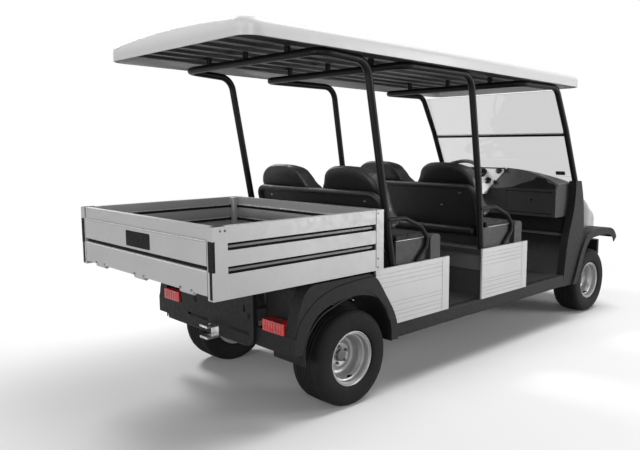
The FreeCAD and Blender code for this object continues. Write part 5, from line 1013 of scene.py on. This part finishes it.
class CART_OT_dash(bpy.types.Operator):
    """Painted shadow under the upper lip, knobs, dials, lock, glovebox bead and toe wall of the dashboard"""
    bl_idname = "cart.dash"
    bl_label = "Dash"

    def execute(self, context):
        # Painted shadow: a thin dark sheet where the upper lip shades the dash.
        lip_shadow = drawn("dash_lip_shadow", [on_face(SLOPE_FOOT, SLOPE, y, rise, 0.0004) for y, rise in LIP_SHADOW])
        done(extruded(lip_shadow, facing(SLOPE) * 0.0022), "recess", "chassis", "dash_plastic")
        rim = [on_face(SLOPE_FOOT, SLOPE, y, rise, 0.0012) for y, rise in LIP_SHADOW]
        rim.append(rim[0] + Vector((0, 0.001, 0)))
        done(tube("dash_upper_lip", rim, 0.0026, bend=0.008), "dash", "chassis", "dash_plastic", angle=60)
        heads, collars = [], []
        out = facing(PANEL_UP)
        for across, height, radius in KNOBS:
            foot = on_face(PANEL_FOOT, PANEL_UP, across, (height - PANEL_FOOT.z) / PANEL_UP.z)
            heads.append(eased(drum("knob", foot, foot + out * 0.014, radius, 28), 0.003, 3))
            collars.append(drum("collar", foot, foot + out * 0.003, radius * 1.18, 28))
        lock = at(2.100, -0.353, 0.910)
        heads.append(eased(drum("lock", lock, lock - Vector((0.003, 0, 0)), 0.011), 0.001))
        hood = [on_face(PANEL_FOOT, PANEL_UP, y, 0.239, 0.002) for y in (-0.070, 0.320)]
        heads.append(tube("hood", hood, 0.0045, ring=6))
        done(joined("dash_knobs", heads), "dial", "chassis", "instrument_plastic")
        done(joined("dash_collars", collars), "rail", "chassis", "instrument_plastic")
        low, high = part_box("glovebox_door")
        face = low.x
        right, left, foot, top = low.y + BEAD_EDGE, high.y - BEAD_EDGE, low.z + BEAD_EDGE, high.z - BEAD_EDGE
        ring = [(face, right, foot), (face, left, foot), (face, left, top), (face, right, top),
                (face, right, low.z + 0.011)]
        bead = tube("glovebox_bead", ring, 0.0022, bend=0.008)
        done(bead, "sheet", "glovebox_door", "dash_plastic", angle=60)
        wall = soft_block("toe_wall", at(2.322, -0.540, 0.560), at(2.328, 0.540, 0.788), 0.002)
        done(wall, "floor", "chassis", "floor_mat")
        ledge = soft_block("toe_ledge", at(2.288, -0.536, 0.632), at(2.3215, 0.536, 0.652), 0.004, 3)
        done(ledge, "wall", "chassis", "floor_mat")
        return {"FINISHED"}


class CART_OT_windscreen(bpy.types.Operator):
    """Clear panes, a pale strip on their rail painted as the highlight of the upper pane's lower edge, two
    black latches and a lower edge
    """
    bl_idname = "cart.windscreen"
    bl_label = "Windscreen"

    def execute(self, context):
        dressed("glass", "windscreen_panes")
        dressed("tube", "windscreen_rail")
        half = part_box("windscreen_panes")[1].y

        def band(name, sides, rises, outs):
            """A strip on the slanted panes, from its ends across, up and out."""
            corners = [on_face(SCREEN_FOOT, SCREEN_UP, sides[i], rises[k], outs[0])
                       for i, k in ((0, 0), (1, 0), (1, 1), (0, 1))]
            return extruded(drawn(name, corners), facing(SCREEN_UP) * (outs[1] - outs[0]))

        # A white strip painted as the bright lower edge of the upper pane.
        lip = band("screen_edge_highlight", (-half + 0.004, half - 0.004), (0.3412, 0.3490), (0.0015, 0.0060))
        done(lip, "roof", "chassis", "screen_rail")
        foot = band("screen_foot", (-half, half), (-0.072, -0.0005), (-0.0025, 0.0025))
        done(foot, "glass", "chassis", "screen_glass")
        latch = eased(band("screen_latch_right", (-0.508, -0.436), (0.016, 0.044), (0.0028, 0.016)), 0.005, 3)
        for piece in (latch, mirrored(latch, "screen_latch_left")):
            done(piece, "dial", "chassis", "latch_plastic")
        return {"FINISHED"}


# The roof

class CART_OT_roof(bpy.types.Operator):
    """Finishes for the roof, its liner and tubes"""
    bl_idname = "cart.roof"
    bl_label = "Roof"

    def execute(self, context):
        dressed("roof", "roof_shell")
        dressed("liner", "roof_liner")
        dressed("tube", "roof_hoops")
        return {"FINISHED"}


# The body

# The rear face of the pod below the bed, its slots as (from and to across, from and to in height), whose dark
# insides are painted shade, and the points of its lower lip across.
POD_REAR = -0.417
POD_SLOTS = ((-0.293, -0.118, 0.388, 0.405), (0.070, 0.238, 0.388, 0.405), (-0.304, -0.279, 0.468, 0.500),
             (0.178, 0.208, 0.470, 0.506))
POD_LIP = (0.262, 0.142, 0.114, -0.118, -0.262)
# The rear fender's seam and its arch's lip as (station, height).
FENDER_GAP = [(-0.394, 0.433), (-0.388, 0.455), (-0.369, 0.499), (-0.338, 0.535), (-0.294, 0.574),
              (-0.244, 0.604), (-0.153, 0.633), (-0.045, 0.648), (0.068, 0.654), (0.142, 0.654)]
FENDER_LIP = [(-0.348, 0.300), (-0.340, 0.374), (-0.296, 0.460), (-0.232, 0.515), (-0.153, 0.545),
              (-0.079, 0.567), (0.004, 0.581), (0.090, 0.580), (0.150, 0.549), (0.204, 0.488), (0.251, 0.405)]
LAMP_WIDTH = 0.160
LAMP_RIBS = 7
RIB_PITCH = 0.020


class CART_OT_body_trim(bpy.types.Operator):
    """Fender seams, ribbed lamps, painted shade in the pod's slots and in the hollows beside it, the pod's
    lower lip, which is partly a painted highlight, and the bench bases' edges with painted highlights along
    the seats
    """
    bl_idname = "cart.body_trim"
    bl_label = "Body Trim"

    def execute(self, context):
        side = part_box("rear_fenders")[1].y
        for name, line, radius, finish in (("fender_gap_left", FENDER_GAP, 0.0035, "recess"),
                                           ("fender_lip_left", FENDER_LIP, 0.0040, "plastic")):
            left = flowing(name, [at(x, side - 0.0012, z) for x, z in line], radius)
            both_done(left, finish, "chassis", "body_plastic", angle=60)
        low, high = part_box("tail_lamps")
        ribs = []
        for index in range(LAMP_RIBS):
            y = high.y - LAMP_WIDTH + RIB_PITCH + index * RIB_PITCH
            ribs.append(soft_block("rib", (low.x - 0.0022, y - 0.0050, low.z + 0.006),
                                   (low.x + 0.004, y + 0.0050, high.z - 0.006), 0.0018))
        both_done(joined("lamp_ribs_left", ribs), "red", "chassis", "lamp_red")
        # Painted shade: dark patches over the pod's slots.
        slot_shades = [soft_block("slot_shade", at(POD_REAR - 0.0008, y0, z0), at(POD_REAR + 0.003, y1, z1), 0.0015)
                 for y0, y1, z0, z1 in POD_SLOTS]
        # Painted shade: dark panels in the hollows beside the pod, under the bed.
        for way in SIDES:
            y0, y1 = sorted((way * 0.332, way * 0.560))
            slot_shades.append(block("recess", at(-0.330, y0, 0.452), at(-0.326, y1, 0.655)))
        done(joined("pod_slot_shades", slot_shades), "recess", "chassis", "body_plastic")
        # A raised lip along the pod's lower edge, paler than the pod: partly real relief, partly a painted
        # highlight.
        lip = tube("pod_lip", [at(POD_REAR - 0.0005, y, 0.334) for y in POD_LIP], 0.0022)
        done(lip, "sheet", "chassis", "body_plastic", angle=60)
        # Pale strips painted as the highlight along the top edge of each seat's side.
        for name, (foot, nose) in BENCHES.items():
            highlight_strips = []
            for way in SIDES:
                y0, y1 = sorted((way * 0.5630, way * 0.5752))
                highlight_strips.append(soft_block("strip", at(foot - 0.020, y0, 0.8012),
                                         at(foot + 0.236, y1, 0.8042), 0.001))
            done(joined("hip_strip_" + name, highlight_strips), "bright", "chassis", "seat_shell")
        tail = soft_block("seat_tail_front", at(1.172, -0.490, 0.742), at(1.246, 0.490, 0.794), 0.020, 5)
        done(tail, "vinyl", "chassis", "seat_vinyl", angle=60)
        wall = soft_block("base_wall_front", at(1.1555, -0.560, 0.535), at(1.1602, 0.560, 0.674), 0.0015)
        done(wall, "wall", "chassis", "seat_shell")
        return {"FINISHED"}


class CART_OT_chassis(bpy.types.Operator):
    """Finishes for the solids of the frame, axles, steering, body, dashboard and load bed"""
    bl_idname = "cart.chassis"
    bl_label = "Chassis"

    def execute(self, context):
        dressed("frame", "frame_rails", "frame_members", "seat_bars", "frame_brackets", "steering_column",
                "pedals", "bed_channels")
        dressed("axle", "rear_axle", "front_axle", "knuckle_left", "knuckle_right", "tie_rod", "front_shocks")
        dressed("plastic", "side_sills", "front_bumper", "rear_body", "rear_fenders", "screen_pillars",
                "front_fenders")
        dressed("aluminium", "bed_side_walls", "bed_front_wall", "bed_corner_posts", "tailgate")
        dressed("dash", "dashboard", "glovebox_door")
        for finish, node in (("spring", "rear_springs"), ("engine", "engine"), ("zinc", "tow_hitch"),
                             ("floor", "floor"), ("sheet", "seat_bases"), ("silver", "instrument_panel"),
                             ("grip", "steering_wheel"), ("cowl", "cowl"), ("clear", "headlamps"),
                             ("red", "tail_lamps"), ("deck", "bed_floor"), ("recess", "bed_latches"),
                             ("panel", "side_panels")):
            dressed(finish, node)
        return {"FINISHED"}


# Stage

WHITE = (1.0, 1.0, 1.0, 1.0)
# Where the floor starts to fade into white and where it is all white, as metres from its middle.
FADE = (1.8, 4.0)
SKY_LIGHT = 0.20
# Each lamp's place, what it points at, its size and its power.
LAMPS = {"top": ((1.6, -1.2, 7.0), (0, 0, 0), 3.2, 380),
         "side": ((4.6, -6.0, 1.3), (0.6, 0, 0.8), 3.0, 320),
         "rear": ((-7.5, -0.4, 0.9), (0, 0, 0.8), 1.6, 155),
         "fill": ((-5.0, -5.0, 2.0), (1.0, 0, 1.0), 2.5, 95),
         "left": ((-1.0, 3.6, 3.9), (1.0, 0, 1.1), 1.5, 150)}
CAMERA_PLACE = (-2.282, -2.842, 1.319)
CAMERA_YAW, CAMERA_PITCH, CAMERA_ROLL = 0.8276, -0.1226, -0.00614


def seen_straight(tree):
    """One where the camera sees the stage itself, in a gloss or through glass."""
    rays = add(tree, "ShaderNodeLightPath").outputs
    either = maths(tree, "MAXIMUM", rays["Is Camera Ray"], rays["Is Glossy Ray"])
    return maths(tree, "MAXIMUM", either, rays["Is Transmission Ray"])


class CART_OT_stage(bpy.types.Operator):
    """Pale floor, soft lamps and the camera"""
    bl_idname = "cart.stage"
    bl_label = "Stage"

    def execute(self, context):
        context.scene.view_settings.view_transform = "Standard"
        self.floor()
        self.lights(context.scene)
        self.camera(context.scene)
        return {"FINISHED"}

    def floor(self):
        settled_mode()
        bpy.ops.mesh.primitive_grid_add(x_subdivisions=8, y_subdivisions=8, size=80, location=(0, 0, 0))
        floor = named("stage_floor")
        paper, tree, place = new_finish("Stage paper")
        seen = seen_straight(tree)
        tone = mixed(tree, seen, opaque(grey(0.5)), opaque(grey(0.86)))
        matt = add(tree, "ShaderNodeBsdfDiffuse", {"Color": tone}).outputs[0]
        white = add(tree, "ShaderNodeEmission", {"Color": WHITE, "Strength": 1.0}).outputs[0]
        far = vector_maths(tree, "LENGTH", {0: place})["Value"]
        fade = ranged(tree, far, *FADE, interpolation_type="SMOOTHSTEP")
        ended(tree, "ShaderNodeMixShader", {0: maths(tree, "MULTIPLY", fade, seen), 1: matt, 2: white})
        floor.data.materials.append(paper)

    def lights(self, scene):
        scene.world = bpy.data.worlds.new("Studio")
        tree = emptied(scene.world)
        level = ranged(tree, seen_straight(tree), to_low=SKY_LIGHT)
        ended(tree, "ShaderNodeBackground", {"Color": WHITE, "Strength": level}, "ShaderNodeOutputWorld")
        for name, (spot, aim, size, watts) in LAMPS.items():
            bpy.ops.object.light_add(type="AREA", location=spot)
            lamp = named("lamp_" + name)
            lamp.data.size = size
            lamp.data.energy = watts
            lamp.rotation_euler = (Vector(spot) - Vector(aim)).to_track_quat("Z", "Y").to_euler()

    def camera(self, scene):
        bpy.ops.object.camera_add(location=at(*CAMERA_PLACE))
        camera = named("camera_photo")
        flat = math.cos(CAMERA_PITCH)
        ahead = Vector((flat * math.cos(CAMERA_YAW), flat * math.sin(CAMERA_YAW), math.sin(CAMERA_PITCH)))
        level_right = ahead.cross(Vector((0, 0, 1))).normalized()
        level_up = level_right.cross(ahead)
        right = level_right * math.cos(CAMERA_ROLL) + level_up * math.sin(CAMERA_ROLL)
        up = level_up * math.cos(CAMERA_ROLL) - level_right * math.sin(CAMERA_ROLL)
        camera.rotation_euler = Matrix((right, up, -ahead)).transposed().to_euler()
        camera.data.sensor_width = 36.0
        camera.data.lens = 37.04
        camera.data.clip_end = 200
        scene.camera = camera


STEPS = (CART_OT_stage, CART_OT_chassis, CART_OT_tyres, CART_OT_rims, CART_OT_cushions, CART_OT_backs,
         CART_OT_back_panels, CART_OT_bed_trim, CART_OT_dash, CART_OT_windscreen, CART_OT_roof,
         CART_OT_body_trim)


class CART_PT_build(bpy.types.Panel):
    """The cart's colours, sizes and building steps"""
    bl_label = "Utility Cart"
    bl_space_type = "VIEW_3D"
    bl_region_type = "UI"
    bl_category = "Cart"

    def draw(self, context):
        for group in (context.scene.cart_paint, context.scene.cart_sizes):
            box = self.layout.box()
            for name in group.__annotations__:
                box.prop(group, name)
        for step in STEPS:
            self.layout.operator(step.bl_idname)


CLASSES = (CartPaint, CartSizes) + STEPS + (CART_PT_build,)


def register():
    for each in CLASSES:
        bpy.utils.register_class(each)
    bpy.types.Scene.cart_paint = bpy.props.PointerProperty(type=CartPaint)
    bpy.types.Scene.cart_sizes = bpy.props.PointerProperty(type=CartSizes)


def unregister():
    del bpy.types.Scene.cart_sizes
    del bpy.types.Scene.cart_paint
    for each in reversed(CLASSES):
        bpy.utils.unregister_class(each)


def main():
    register()
    make_groups()
    FINISH.update(make_finishes(bpy.context.scene.cart_paint))
    for step in STEPS:
        family, name = step.bl_idname.split(".")
        getattr(getattr(bpy.ops, family), name)()


if __name__ == "__main__":
    main()
